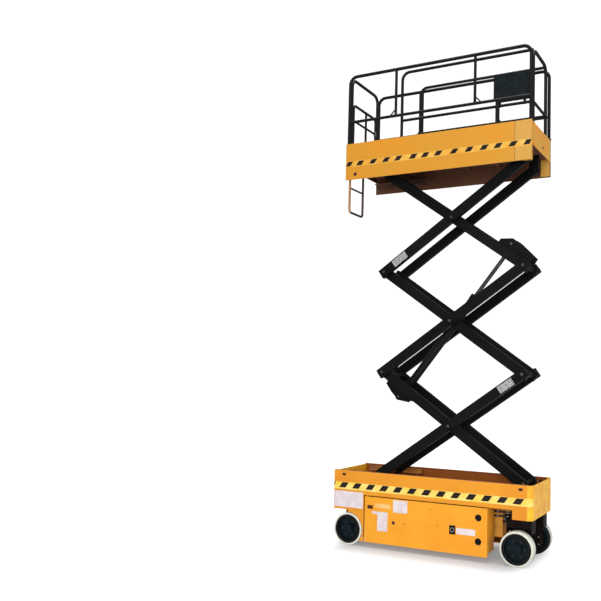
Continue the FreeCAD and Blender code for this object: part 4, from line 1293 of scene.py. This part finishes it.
@dataclass
class SteeringGear:
    """The two black knuckles and their tie rod.

    Attributes:
        cover: The drive motor's cover, as (radius, place along its axis).
        bolt_circle: The radius of the circle of bolts round the cover.
        bolt_count: How many bolts it has.
        bolt_radius: A bolt's radius to its corners.
        yoke_half: Half the yoke's length.
        yoke_foot: The height of the yoke's underside.
        yoke_sides: The yoke's inner and outer side, from the middle of the machine.
        apron_drop: How far the aprons at the yoke's ends hang down.
        apron_thick: The plates' thickness.
        cheek_foot: The height of the foot of the cheek behind the tyre.
    """

    cover: tuple[Point, ...] = ((0, -0.001), (0.07, -0.001), (0.066, 0.012), (0.03, 0.014), (0, 0.014))
    bolt_circle: float = 0.1
    bolt_count: int = 8
    bolt_radius: float = 0.008
    yoke_half: float = 0.145
    yoke_foot: float = 0.396
    yoke_sides: Point = (0.155, 0.305)
    apron_drop: float = 0.055
    apron_thick: float = 0.008
    cheek_foot: float = 0.3

    def build(self) -> None:
        """Dress the steering."""
        for side in Side:
            node = f"knuckle_{side.word}"
            paint("running_gear", node)
            low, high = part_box(node)
            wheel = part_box(f"tyre_front_{side.word}")
            centre = (wheel[0] + wheel[1]) / 2
            inner = high.y if side is Side.NEAR else low.y
            face = Vector((centre.x, inner, centre.z))
            piece = Piece(f"drive_motor_{side.word}", ["running_gear", "zinc"])
            piece.turned(list(self.cover), face, -side.outward, 40)
            for number in range(self.bolt_count):
                spot = face + spoke((number + 0.5) / self.bolt_count, self.bolt_circle)
                piece.bolt(spot, -side.outward, self.bolt_radius, 1)
            self.aprons(piece, side, centre.x)
            piece.finish_on(body_of(node))
        paint("pin_steel", "tie_rod")

    def aprons(self, piece: Piece, side: Side, middle: float) -> None:
        """The plates that hang from the yoke's two ends and from its inner side, behind the tyre.

        Args:
            piece: The piece that they go into.
            side: The knuckle's side.
            middle: The wheel axle's X.
        """
        inner, outer = self.yoke_sides
        for end in End:
            x = middle + end.value * self.yoke_half
            corners = rectangle(inner, outer, self.yoke_foot, self.yoke_foot - self.apron_drop)
            piece.plate([Vector((x, side.value * y, z)) for y, z in corners],
                        -AXIS_X * end.value * self.apron_thick)
        corners = rectangle(middle - self.yoke_half, middle + self.yoke_half, self.cheek_foot, self.yoke_foot)
        piece.plate([Vector((x, side.value * inner, z)) for x, z in corners], side.outward * self.apron_thick)


@dataclass
class ScissorStack:
    """Three levels of crossed arms with their shafts, pins and blank labels.

    Attributes:
        levels: How many levels of crossed arms it has.
        arm_end: How far a pin's axis lies from an arm's round end.
        arm_thick: How thick an arm is.
        skin: How far the square ends stand proud of the arms' faces.
        ring_reach: The outer radius of the wear ring round each pin.
        ring_bore: The ring's bore radius.
        ring_rise: How far the ring stands off the arm.
        ring_taper: How much the ring narrows to its outer face.
        pin_end: The bright pin ends' foot radius, tip radius and height.
        cheeks: Each cylinder bracket's level, and its cheeks' corners as (along the inner arm from its pin, away
            from the arm's axis).
        cheek_face: How far the bracket's lugs reach from the middle plane.
        cheek_thick: How thick a cheek is.
        labels: Each blank label's level, and its start and end along the outer arm from the rear pin.
        label_width: The labels' width across the arm.
    """

    levels: int = 3
    arm_end: float = 0.0565
    arm_thick: float = 0.05
    skin: float = 0.3 * MILLIMETRE
    ring_reach: float = 0.05
    ring_bore: float = 0.036
    ring_rise: float = 0.005
    ring_taper: float = 0.003
    pin_end: Triple = (0.017, 0.015, 0.003)
    cheeks: tuple[tuple[int, tuple[Point, ...]], ...] = (
        (1, ((0.06, 0.03), (0.063, 0.126), (0.18, 0.168), (0.27, 0.186), (0.33, 0.187), (0.45, 0.13), (0.476, 0.03))),
        (3, ((0.0, 0.03), (0.0, 0.136), (0.14, 0.162), (0.27, 0.184), (0.338, 0.185), (0.465, 0.105), (0.465, 0.03))),
    )
    cheek_face: float = 0.08
    cheek_thick: float = 0.012
    labels: tuple[tuple[int, float, float], ...] = ((3, 0.155, 0.365), (1, 1.82, 2.02))
    label_width: float = 0.088

    def pins(self, level: int) -> tuple[Vector, Vector, Vector, Vector]:
        """The end pins of a level's arms.

        Args:
            level: The level's number, from 1.

        Returns:
            The outer arms' rear and front pin, then the inner arms' rear and front pin, in the middle plane.
        """
        low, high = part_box(f"outer_arms_{level}")
        rear, front = low.x + self.arm_end, high.x - self.arm_end
        foot, top = low.z + self.arm_end, high.z - self.arm_end
        return Vector((rear, 0, foot)), Vector((front, 0, top)), Vector((rear, 0, top)), Vector((front, 0, foot))

    def build(self) -> None:
        """Dress the stack."""
        for level in range(1, self.levels + 1):
            paint("arm_paint", f"inner_arms_{level}", f"outer_arms_{level}", f"inner_shafts_{level}")
            self.rings(level)
            self.square_ends(level)
        for level, outline in self.cheeks:
            self.bracket_cheeks(level, outline)
        for level, start, end in self.labels:
            self.blank_label(level, start, end)
        paint("pin_steel", "roller_axle")

    def rings(self, level: int) -> None:
        """The wear rings on the outer arms and the bright pin ends beside them.

        Args:
            level: The level's number.
        """
        outer, inner = f"outer_arms_{level}", f"inner_shafts_{level}"
        rear, front, inner_rear, inner_front = self.pins(level)
        centre = (rear + front) / 2
        face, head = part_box(outer)[1].y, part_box("inner_shafts_2")[1].y
        bore, reach, rise = self.ring_bore, self.ring_reach, self.ring_rise
        ring = [(bore, 0), (reach, 0), (reach - self.ring_taper, rise), (bore, rise), (bore, 0)]
        bright = (centre, inner_front) if level == self.levels else (centre, inner_front, inner_rear)
        rings = Piece(f"arm_rings_{level}", ["arm_paint"])
        ends = Piece(f"pin_ends_{level}", ["pin_steel"])
        for side in Side:
            way = side.outward
            for pin in (rear, centre, front):
                rings.turned(ring, pin + way * face, way, 32)
            for pin in bright:
                ends.button(pin + way * head, way, self.pin_end, 24)
        rings.finish_on(body_of(outer))
        ends.finish_on(body_of(inner))

    def square_ends(self, level: int) -> None:
        """The square ends of the arms that meet between two levels.

        Args:
            level: The level's number.
        """
        rear, front, inner_rear, inner_front = self.pins(level)
        for kind, foot, head in (("outer", rear, front), ("inner", inner_front, inner_rear)):
            node = f"{kind}_arms_{level}"
            way = (head - foot).normalized() * self.arm_end
            aside = way.cross(AXIS_Y)
            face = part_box(node)[1].y + self.skin
            piece = Piece(f"arm_ends_{kind}_{level}", ["arm_paint"])
            for pin, out, free in ((foot, -way, level > 1), (head, way, level < self.levels)):
                for side in Side if free else ():
                    corners = [pin + aside, pin + aside + out, pin - aside + out, pin - aside]
                    piece.plate([corner + side.outward * face for corner in corners],
                                -side.outward * (self.arm_thick + 2 * self.skin))
            piece.finish_on(body_of(node))

    def bracket_cheeks(self, level: int, outline: tuple[Point, ...]) -> None:
        """The two cheeks over the lugs of a cylinder bracket.

        Args:
            level: The level whose inner arms carry the bracket.
            outline: The cheek's corners, as (along the inner arm from its pin, away from its axis).
        """
        pin, other = self.pins(level)[2:]
        if level == self.levels:
            pin, other = other, pin
        way = (other - pin).normalized()
        off = way.cross(AXIS_Y)
        piece = Piece(f"bracket_cheeks_{level}", ["arm_paint"])
        for side in Side:
            corners = [pin + way * along - off * away + side.outward * self.cheek_face for along, away in outline]
            piece.plate(corners, side.outward * self.cheek_thick)
        piece.finish_on(body_of(f"inner_shafts_{level}"), bevel=2.0 * MILLIMETRE)

    def blank_label(self, level: int, start: float, end: float) -> None:
        """A blank label along the near outer arm.

        Args:
            level: The level's number.
            start: Its start along the arm, from the rear pin.
            end: Its end along the arm.
        """
        node = f"outer_arms_{level}"
        rear, front = self.pins(level)[:2]
        way = (front - rear).normalized()
        aside = way.cross(AXIS_Y) * self.label_width / 2
        face = Vector((0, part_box(node)[0].y, 0))
        piece = Piece(f"arm_label_{level}", ["arm_label"])
        corners = [rear + way * start + aside, rear + way * end + aside, rear + way * end - aside,
                   rear + way * start - aside]
        piece.plate([corner + face for corner in corners], Side.NEAR.outward * 0.6 * MILLIMETRE)
        piece.finish_on(body_of(node))


@dataclass
class LiftCylinder:
    """The lift cylinder's black barrel and its rod, with the bright ends of their eyes' pins.

    Attributes:
        eye_radius: The outer radius of the cylinder's two eyes.
        cheek_side: How far the brackets' cheeks reach from the middle plane.
        pin_end: The pin ends' foot radius, tip radius and height.
    """

    eye_radius: float = 0.046
    cheek_side: float = ScissorStack.cheek_face + ScissorStack.cheek_thick
    pin_end: Triple = (0.016, 0.014, 0.003)

    def build(self) -> None:
        """Dress the cylinder."""
        paint("barrel_paint", "lift_barrel")
        paint("rod_steel", "lift_rod")
        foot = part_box("lift_barrel")[0] + Vector((self.eye_radius, 0, self.eye_radius))
        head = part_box("lift_rod")[1] - Vector((self.eye_radius, 0, self.eye_radius))
        for name, body, eye in (("cylinder_foot_pin", "inner_1", foot), ("cylinder_head_pin", "inner_3", head)):
            piece = Piece(name, ["pin_steel"])
            for side in Side:
                seat = Vector((eye.x, 0, eye.z)) + side.outward * self.cheek_side
                piece.button(seat, side.outward, self.pin_end, 24)
            piece.finish_on(body)


def tread(name: str, body: str, low: Vector, high: Vector, finish: str) -> None:
    """Raised lozenges in a chequered pattern on a floor plate.

    Args:
        name: The piece's name.
        body: The body that it rides on.
        low: The pattern's lowest corner, at the plate's top.
        high: The pattern's highest corner, at the same height.
        finish: The finish's name.
    """
    pitch, long, short, rise = 0.05, 0.017, 0.0045, 1.2 * MILLIMETRE
    piece = Piece(name, [finish])
    for column in range(int((high.x - low.x) / pitch)):
        for row in range(int((high.y - low.y) / pitch)):
            centre = low + Vector((column + 0.5, row + 0.5, 0)) * pitch
            lean = math.radians(45 if (column + row) % 2 else -45)
            along = Vector((math.cos(lean), math.sin(lean), 0))
            across = along.cross(AXIS_Z)
            piece.plate([centre - along * long, centre - across * short, centre + along * long,
                         centre + across * short], AXIS_Z * rise)
    piece.finish_on(body)


@dataclass
class Platform:
    """The orange platform with its skirts, deck, tracks and ladder.

    Attributes:
        mark_z: The height of the warning marks' middle.
        mark_centres: The marks' places along X.
        tape: The tape's lowest and highest Z.
        seam_x: Where the paler cover plate at a skirt's front end starts.
        seam_width: The width of the dark seam behind it.
        edge: How far the cover plates end from the skirt's edges.
        nose: Where the cover on a skirt's inner face starts.
        lashing_eye: The rusty hole at a skirt's rear end: its X, its Z, and half its width and height.
        rear_plate_depth: How deep the plate across the deck's rear edge is.
        deck_below_top: How far the deck lies below the skirts' top.
    """

    mark_z: float = 4.658
    mark_centres: tuple[float, ...] = (-1.144, -0.986, -0.803, -0.623, -0.459, -0.258, -0.1, 0.068, 0.271, 0.458,
                                       0.641, 0.808, 0.985, 1.158)
    tape: Point = (4.618, 4.69)
    seam_x: float = 1.006
    seam_width: float = 0.0035
    edge: float = 0.002
    nose: float = 1.09
    lashing_eye: Area = (-1.054, 4.524, 0.024, 0.022)
    rear_plate_depth: float = 0.06
    deck_below_top: float = 0.236

    def build(self) -> None:
        """Dress the platform."""
        # The skirts' finish paints shade on their inner faces
        paint("platform_paint", "platform_skirt_near", "platform_skirt_far", "platform_rear")
        # The ladder's far post takes a painted shade
        paint("ladder_paint", "ladder")
        # The deck's underside and the tracks take a painted shade
        paint("under_deck", "platform_deck", "platform_tracks")
        paint("arm_paint", "platform_pivots")
        for side in Side:
            low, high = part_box(f"platform_skirt_{side.word}")
            line = WallLine(side, max(abs(low.y), abs(high.y)), high.x)
            HazardBand(f"hazard_band_platform_{side.word}", f"platform_skirt_{side.word}", line, self.mark_z,
                       list(self.mark_centres), mark_width=0.075, mark_height=0.055, lean=0.04, tape=self.tape,
                       tape_finish="faded_tape").build()
            self.front_guard(line, low, high)
        self.rear_plate()
        self.floor_tread()

    def rear_plate(self) -> None:
        """The plate across the deck's rear edge, no deeper than the ladder's seat."""
        low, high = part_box("platform_rear")
        piece = Piece("rear_plate", ["platform_paint"])
        piece.box(Vector((low.x, low.y, high.z - self.rear_plate_depth)), high)
        piece.finish_on("platform", replaced=("platform_rear",), bevel=1.0 * MILLIMETRE)

    def front_guard(self, line: WallLine, low: Vector, high: Vector) -> None:
        """The paler cover plates round a skirt's front end, and the lashing eye at its rear end.

        Args:
            line: The skirt's plan line.
            low: The skirt's lowest corner.
            high: The skirt's highest corner.
        """
        front, foot, top = high.x - self.edge, low.z + self.edge, high.z - self.edge
        piece = Piece(f"skirt_front_{line.side.word}", ["pale_paint", "dark_rubber", "eye_rust"])
        piece.on_wall(line, rectangle(self.seam_x, front, foot, top), 0.4 * MILLIMETRE)
        piece.on_wall(line, rectangle(self.seam_x - self.seam_width, self.seam_x, foot, top), 0.5 * MILLIMETRE, 1)
        piece.on_wall(line, ellipse(*self.lashing_eye), 0.6 * MILLIMETRE, 2)
        inner = WallLine(line.side, min(abs(low.y), abs(high.y)), high.x)
        piece.on_wall(inner, rectangle(self.nose, front, foot, top), -0.5 * MILLIMETRE)
        piece.finish_on("platform")

    def floor_tread(self) -> None:
        """The tread on the deck, behind and below the extension."""
        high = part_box("platform_skirt_near")[1]
        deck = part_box("platform_deck")
        top = high.z - self.deck_below_top
        tread("deck_tread", "platform", Vector((deck[0].x + 0.01, deck[0].y + 0.02, top)),
              Vector((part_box("extension_deck")[0].x, deck[1].y - 0.02, top)), "deck_steel")


@dataclass
class GuardRails:
    """The black rails of the platform, the rear hoop and the gate.

    Attributes:
        mid_height: The mid rail's height over the skirt.
        tube_radius: The rails' radius.
        braces: Each brace's upright, along X, and the way that its foot points.
        brace_reach: How far a brace reaches along the mid rail and up the upright.
        brace_radius: The braces' radius.
        foot_half: Half the length and half the width of a post's foot plate.
        foot_thick: The foot plate's thickness, and how far it is moved inwards.
        latch_drop: How far the gate's latch lies below the gate's top.
        latch_half: Half the latch's thickness and half its height.
        latch_ends: Where the latch ends and starts, from the hoop's post.
        knob_inset: How far the latch's knob stands from the hoop's post.
        knob_shape: The knob on its stem, as (radius, height).
    """

    mid_height: float = 0.281
    tube_radius: float = 0.02
    braces: tuple[tuple[float, int], ...] = ((-0.515, -1), (0.512, 1))
    brace_reach: float = 0.085
    brace_radius: float = 0.008
    foot_half: Point = (0.03, 0.02)
    foot_thick: float = 0.006
    latch_drop: float = 0.22
    latch_half: Point = (0.014, 0.03)
    latch_ends: Point = (0.05, 0.008)
    knob_inset: float = 0.03
    knob_shape: tuple[Point, ...] = ((0, 0), (0.007, 0), (0.007, 0.05), (0.012, 0.055), (0.012, 0.07), (0, 0.075))

    def build(self) -> None:
        """Dress the rails."""
        paint("rail_paint", "rail_near", "rail_far", "rear_rail", "gate")
        for side in Side:
            self.side_details(side)
        self.gate_fittings()

    def side_details(self, side: Side) -> None:
        """The small braces at the uprights' feet and the foot plates of the posts.

        Args:
            side: The rail's side.
        """
        low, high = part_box(f"rail_{side.word}")
        y = (low.y + high.y) / 2
        mid = low.z + self.mid_height
        piece = Piece(f"rail_braces_{side.word}", ["rail_paint"])
        for x, way in self.braces:
            top = Vector((x, y, mid + self.brace_reach))
            foot = Vector((x + way * self.brace_reach, y, mid))
            piece.tube([top, foot], self.brace_radius, 10)
        half = Vector((*self.foot_half, 0))
        for x in (low.x + self.tube_radius, high.x - self.tube_radius):
            foot = Vector((x, y - side.value * self.foot_thick, low.z))
            piece.box(foot - half, foot + half + AXIS_Z * self.foot_thick)
        piece.finish_on("platform", bevel=1.0 * MILLIMETRE)

    def gate_fittings(self) -> None:
        """The gate's latch on the far side."""
        low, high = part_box("gate")
        x = (low.x + high.x) / 2
        z = high.z - self.latch_drop
        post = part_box("rear_rail")[1].y - 2 * self.tube_radius
        thick, tall = self.latch_half
        inner, outer = self.latch_ends
        piece = Piece("gate_latch", ["zinc", "rail_paint"])
        piece.box(Vector((x - thick, post - inner, z - tall)), Vector((x + thick, post - outer, z + tall)))
        piece.turned(list(self.knob_shape), Vector((x, post - self.knob_inset, z + tall)), AXIS_Z, 16)
        piece.finish_on("gate", bevel=1.0 * MILLIMETRE)


@dataclass
class Extension:
    """The sliding deck, its rails and the control box.

    Attributes:
        stud_place: The place of the dark stud on the front plate, as (y, z).
        stud_radius: The stud's radius.
        box_depth: The control box's depth, from its outer face to its inner one.
        box_height: The control box's height, without its feet.
        panel_margin: How far the panel lies inside the box's edges.
        panel_rise: How far the panel stands off the box's inner face.
        stop_inset: How far the stop button and the key lie from the panel's front edge.
        buttons: The first button's place from the panel's rear edge, the step between buttons, and their count.
        button_height: The buttons' and the key's height over the panel's foot.
        screw_inset: How far the outer face's screws lie inside the panel's outline.
        screw_radius: A screw's radius to its corners.
        stop_shape: The stop button on its collar, as (radius, place along its axis).
        button_shape: A button in its ring.
        key_shape: The key switch.
    """

    stud_place: Point = (0.051, 4.715)
    stud_radius: float = 0.02
    box_depth: float = 0.12
    box_height: float = 0.284
    panel_margin: float = 0.022
    panel_rise: float = 0.003
    stop_inset: float = 0.07
    buttons: tuple[float, float, int] = (0.2, 0.055, 3)
    button_height: float = 0.06
    screw_inset: float = 0.01
    screw_radius: float = 0.005
    stop_shape: tuple[Point, ...] = ((0.024, 0), (0.024, 0.004), (0.012, 0.006), (0.012, 0.016), (0.021, 0.019),
                                     (0.02, 0.028), (0, 0.031))
    button_shape: tuple[Point, ...] = ((0.012, 0), (0.012, 0.005), (0.009, 0.006), (0.009, 0.01), (0, 0.011))
    key_shape: tuple[Point, ...] = ((0.014, 0), (0.014, 0.004), (0, 0.005))

    def build(self) -> None:
        """Dress the extension."""
        paint("front_paint", "extension_deck")
        paint("rail_paint", "extension_rails")
        paint("box_plastic", "control_box")
        low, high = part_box("extension_deck")
        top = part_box("extension_rails")[0].z
        tread("extension_tread", "extension", Vector((low.x + 0.01, low.y + 0.03, top)),
              Vector((high.x - 0.02, high.y - 0.03, top)), "deck_steel")
        radius = self.stud_radius
        piece = Piece("front_plate_stud", ["dark_rubber"])
        piece.turned([(0, -0.001), (radius, -0.001), (radius, 0.0), (0, 0.0005)],
                     Vector((high.x, *self.stud_place)), AXIS_X, 24)
        piece.finish_on("extension")
        self.panel()

    def panel(self) -> None:
        """The control box's inner panel with its buttons, and the screws of its outer face."""
        low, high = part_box("control_box")
        rear, front = low.x + self.panel_margin, high.x - self.panel_margin
        foot, top = high.z - self.box_height + self.panel_margin, high.z - self.panel_margin
        outer, inner = low.y, low.y + self.box_depth
        face = inner + self.panel_rise
        piece = Piece("box_panel", ["box_panel", "signal_red", "zinc", "dark_rubber"])
        piece.box(Vector((rear, inner - MILLIMETRE, foot)), Vector((front, face, top)))
        stop = Vector((front - self.stop_inset, face, top - self.stop_inset))
        piece.turned(list(self.stop_shape), stop, AXIS_Y, 28, 1)
        first, step, count = self.buttons
        row = foot + self.button_height
        for number in range(count):
            seat = Vector((rear + first + number * step, face, row))
            piece.turned(list(self.button_shape), seat, AXIS_Y, 20, 3)
        piece.turned(list(self.key_shape), Vector((front - self.stop_inset, face, row)), AXIS_Y, 24, 2)
        for x in (rear + self.screw_inset, front - self.screw_inset):
            for z in (foot + self.screw_inset, top - self.screw_inset):
                piece.bolt(Vector((x, outer, z)), -AXIS_Y, self.screw_radius, 3)
        piece.finish_on("extension", bevel=0.8 * MILLIMETRE)


@dataclass(frozen=True)
class SoftLight:
    """One soft square light of the studio.

    Attributes:
        name: The light's name.
        place: Where it stands.
        size: Its side in metres.
        power: Its power in watts.
    """

    name: str
    place: Triple
    size: float
    power: float

    def shine(self, aim: Vector) -> None:
        """Set the light up.

        Args:
            aim: The point that it faces.
        """
        data = bpy.data.lights.new(self.name, "AREA")
        data.size = self.size
        data.energy = self.power
        made = bpy.data.objects.new(self.name, data)
        made.location = self.place
        made.rotation_euler = (aim - Vector(self.place)).to_track_quat("-Z", "Y").to_euler()
        bpy.context.scene.collection.objects.link(made)


@dataclass
class Studio:
    """The pale floor, the soft lights and the camera at the photograph's angle.

    Attributes:
        camera_place: Where the camera stands.
        yaw: Its turn to the left, in radians.
        pitch: Its turn upwards.
        roll: Its turn about its own axis.
        focal_pixels: Its focal length in pixels of the photograph.
        centre_pixel: The pixel that it looks straight at.
        sensor: The sensor's width in millimetres.
        aim: The point that the lights face.
        lights: The studio's lights.
        sky: How strongly the surroundings light the machine.
        sky_seen: How much brighter they are to the camera.
        floor_side: The floor's side.
        floor_tones: The floor's two tones, as a reflector of the studio's light.
        floor_seen: The floor's colour to the camera.
        glow: The floor's own brightness to the camera, below the machine, where its low value is a painted shadow,
            and far from it.
        glow_reach: Where the floor's brightness starts and ends to grow, from the stretch of painted shadow.
        shade_half: Half the size of the stretch of painted shadow below the machine.
        shade_squeeze: How the distance from that stretch is scaled along each axis.
    """

    camera_place: Triple = (3.4614, -8.0227, 2.0471)
    yaw: float = 0.4463
    pitch: float = 0.0628
    roll: float = 0.0187
    focal_pixels: float = 721.988
    centre_pixel: Point = (415.388, 329.75)
    sensor: float = 36.0
    aim: Triple = (0.0, 0.0, 2.8)
    lights: tuple[SoftLight, ...] = (
        SoftLight("key", (4.0, -15.0, 4.5), 6.0, 1150),
        SoftLight("fill", (14.0, -6.0, 4.0), 6.0, 700),
        SoftLight("top", (0.0, -1.5, 12.0), 8.0, 1100),
    )
    sky: float = 0.36
    sky_seen: float = 0.74
    floor_side: float = 120.0
    floor_tones: tuple[Colour, Colour] = ((0.76, 0.76, 0.8, 1), (0.74, 0.74, 0.77, 1))
    floor_seen: Colour = (0.38, 0.38, 0.39, 1)
    # The floor's glow is faint below the machine, as a painted shadow
    glow: Point = (0.22, 1.0)
    glow_reach: Point = (0.0, 0.74)
    shade_half: Triple = (0.95, 0.36, 1.0)
    shade_squeeze: Triple = (1.6, 1.0, 1.0)

    def camera(self) -> None:
        """Set up the camera."""
        data = bpy.data.cameras.new("camera")
        data.sensor_width = self.sensor
        data.lens = self.focal_pixels * self.sensor / PHOTO_SIDE
        data.shift_x = 0.5 - self.centre_pixel[0] / PHOTO_SIDE
        data.shift_y = self.centre_pixel[1] / PHOTO_SIDE - 0.5
        data.clip_end = 200
        ahead = Vector((-math.sin(self.yaw) * math.cos(self.pitch),
                        math.cos(self.yaw) * math.cos(self.pitch), math.sin(self.pitch)))
        level = Vector((math.cos(self.yaw), math.sin(self.yaw), 0))
        upright = level.cross(ahead)
        right = level * math.cos(self.roll) + upright * math.sin(self.roll)
        above = upright * math.cos(self.roll) - level * math.sin(self.roll)
        made = bpy.data.objects.new("camera", data)
        turn = Matrix((right, above, -ahead)).transposed().to_4x4()
        made.matrix_world = Matrix.Translation(self.camera_place) @ turn
        bpy.context.scene.collection.objects.link(made)
        bpy.context.scene.camera = made

    def surroundings(self) -> None:
        """Make the white surroundings: bright to the camera, softer as a light."""
        world = bpy.data.worlds.new("studio")
        world.use_nodes = True
        bpy.context.scene.world = world
        graph = Graph(world.node_tree)
        background = world.node_tree.nodes["Background"]
        seen = graph.add("LightPath").outputs["Is Camera Ray"]
        strength = graph.maths("ADD", self.sky, graph.maths("MULTIPLY", seen, self.sky_seen))
        graph.join(strength, background.inputs["Strength"])
        background.inputs["Color"].default_value = (1, 1, 1, 1)

    def floor_material(self) -> bpy.types.Material:
        """Make the pale floor's material, which glows to the camera: fully far from the machine, and faintly in a
        stretch below it, a painted shadow that real shadows darken further.

        Returns:
            The material.
        """
        made = bpy.data.materials.new("studio_floor")
        made.use_nodes = True
        graph = Graph(made.node_tree)
        shader = made.node_tree.nodes["Principled BSDF"]
        place = graph.add("TexCoord").outputs["Object"]
        seen = graph.add("LightPath").outputs["Is Camera Ray"]
        pale = graph.blend(graph.ramp(graph.noise(place, 3.0), 0.3, 0.7), *self.floor_tones)
        graph.join(graph.blend(seen, pale, self.floor_seen), shader.inputs["Base Color"])
        shader.inputs["Roughness"].default_value = 0.9
        shader.inputs["Specular IOR Level"].default_value = 0.0
        # Painted shadow: the glow is faint in a stretch below the machine and grows with the distance from it
        away = place
        for operation, value in (("ABSOLUTE", (0, 0, 0)), ("SUBTRACT", self.shade_half), ("MAXIMUM", (0, 0, 0)),
                                 ("MULTIPLY", self.shade_squeeze)):
            step = graph.add("VectorMath", operation=operation)
            graph.join(away, step.inputs[0])
            graph.join(value, step.inputs[1])
            away = step.outputs["Vector"]
        reach = graph.add("VectorMath", operation="LENGTH")
        graph.join(away, reach.inputs[0])
        near, far = self.glow
        grown = graph.maths("MULTIPLY", graph.ramp(reach.outputs["Value"], *self.glow_reach), far - near)
        shader.inputs["Emission Color"].default_value = (1, 1, 1, 1)
        graph.join(graph.maths("MULTIPLY", graph.maths("ADD", grown, near), seen), shader.inputs["Emission Strength"])
        return made

    def floor(self) -> None:
        """Make the floor."""
        half = self.floor_side / 2
        data = bpy.data.meshes.new("studio_floor")
        data.from_pydata([(-half, -half, 0), (half, -half, 0), (half, half, 0), (-half, half, 0)], [], [(0, 1, 2, 3)])
        data.materials.append(self.floor_material())
        plane = bpy.data.objects.new("studio_floor", data)
        bpy.context.scene.collection.objects.link(plane)

    def build(self) -> None:
        """Set up the studio."""
        self.camera()
        self.surroundings()
        self.floor()
        for light in self.lights:
            light.shine(Vector(self.aim))
        bpy.context.scene.view_settings.view_transform = "Standard"


def main() -> None:
    """Build the studio and every sub-assembly in order."""
    logging.basicConfig(level=logging.INFO, format="%(name)s: %(message)s")
    Studio().build()
    Groups.make()
    Chassis().build()
    for side in Side:
        SideTray(side).build()
    for end in End:
        for side in Side:
            Wheel(end, side).build()
    SteeringGear().build()
    ScissorStack().build()
    LiftCylinder().build()
    Platform().build()
    GuardRails().build()
    Extension().build()


if __name__ == "__main__":
    main()
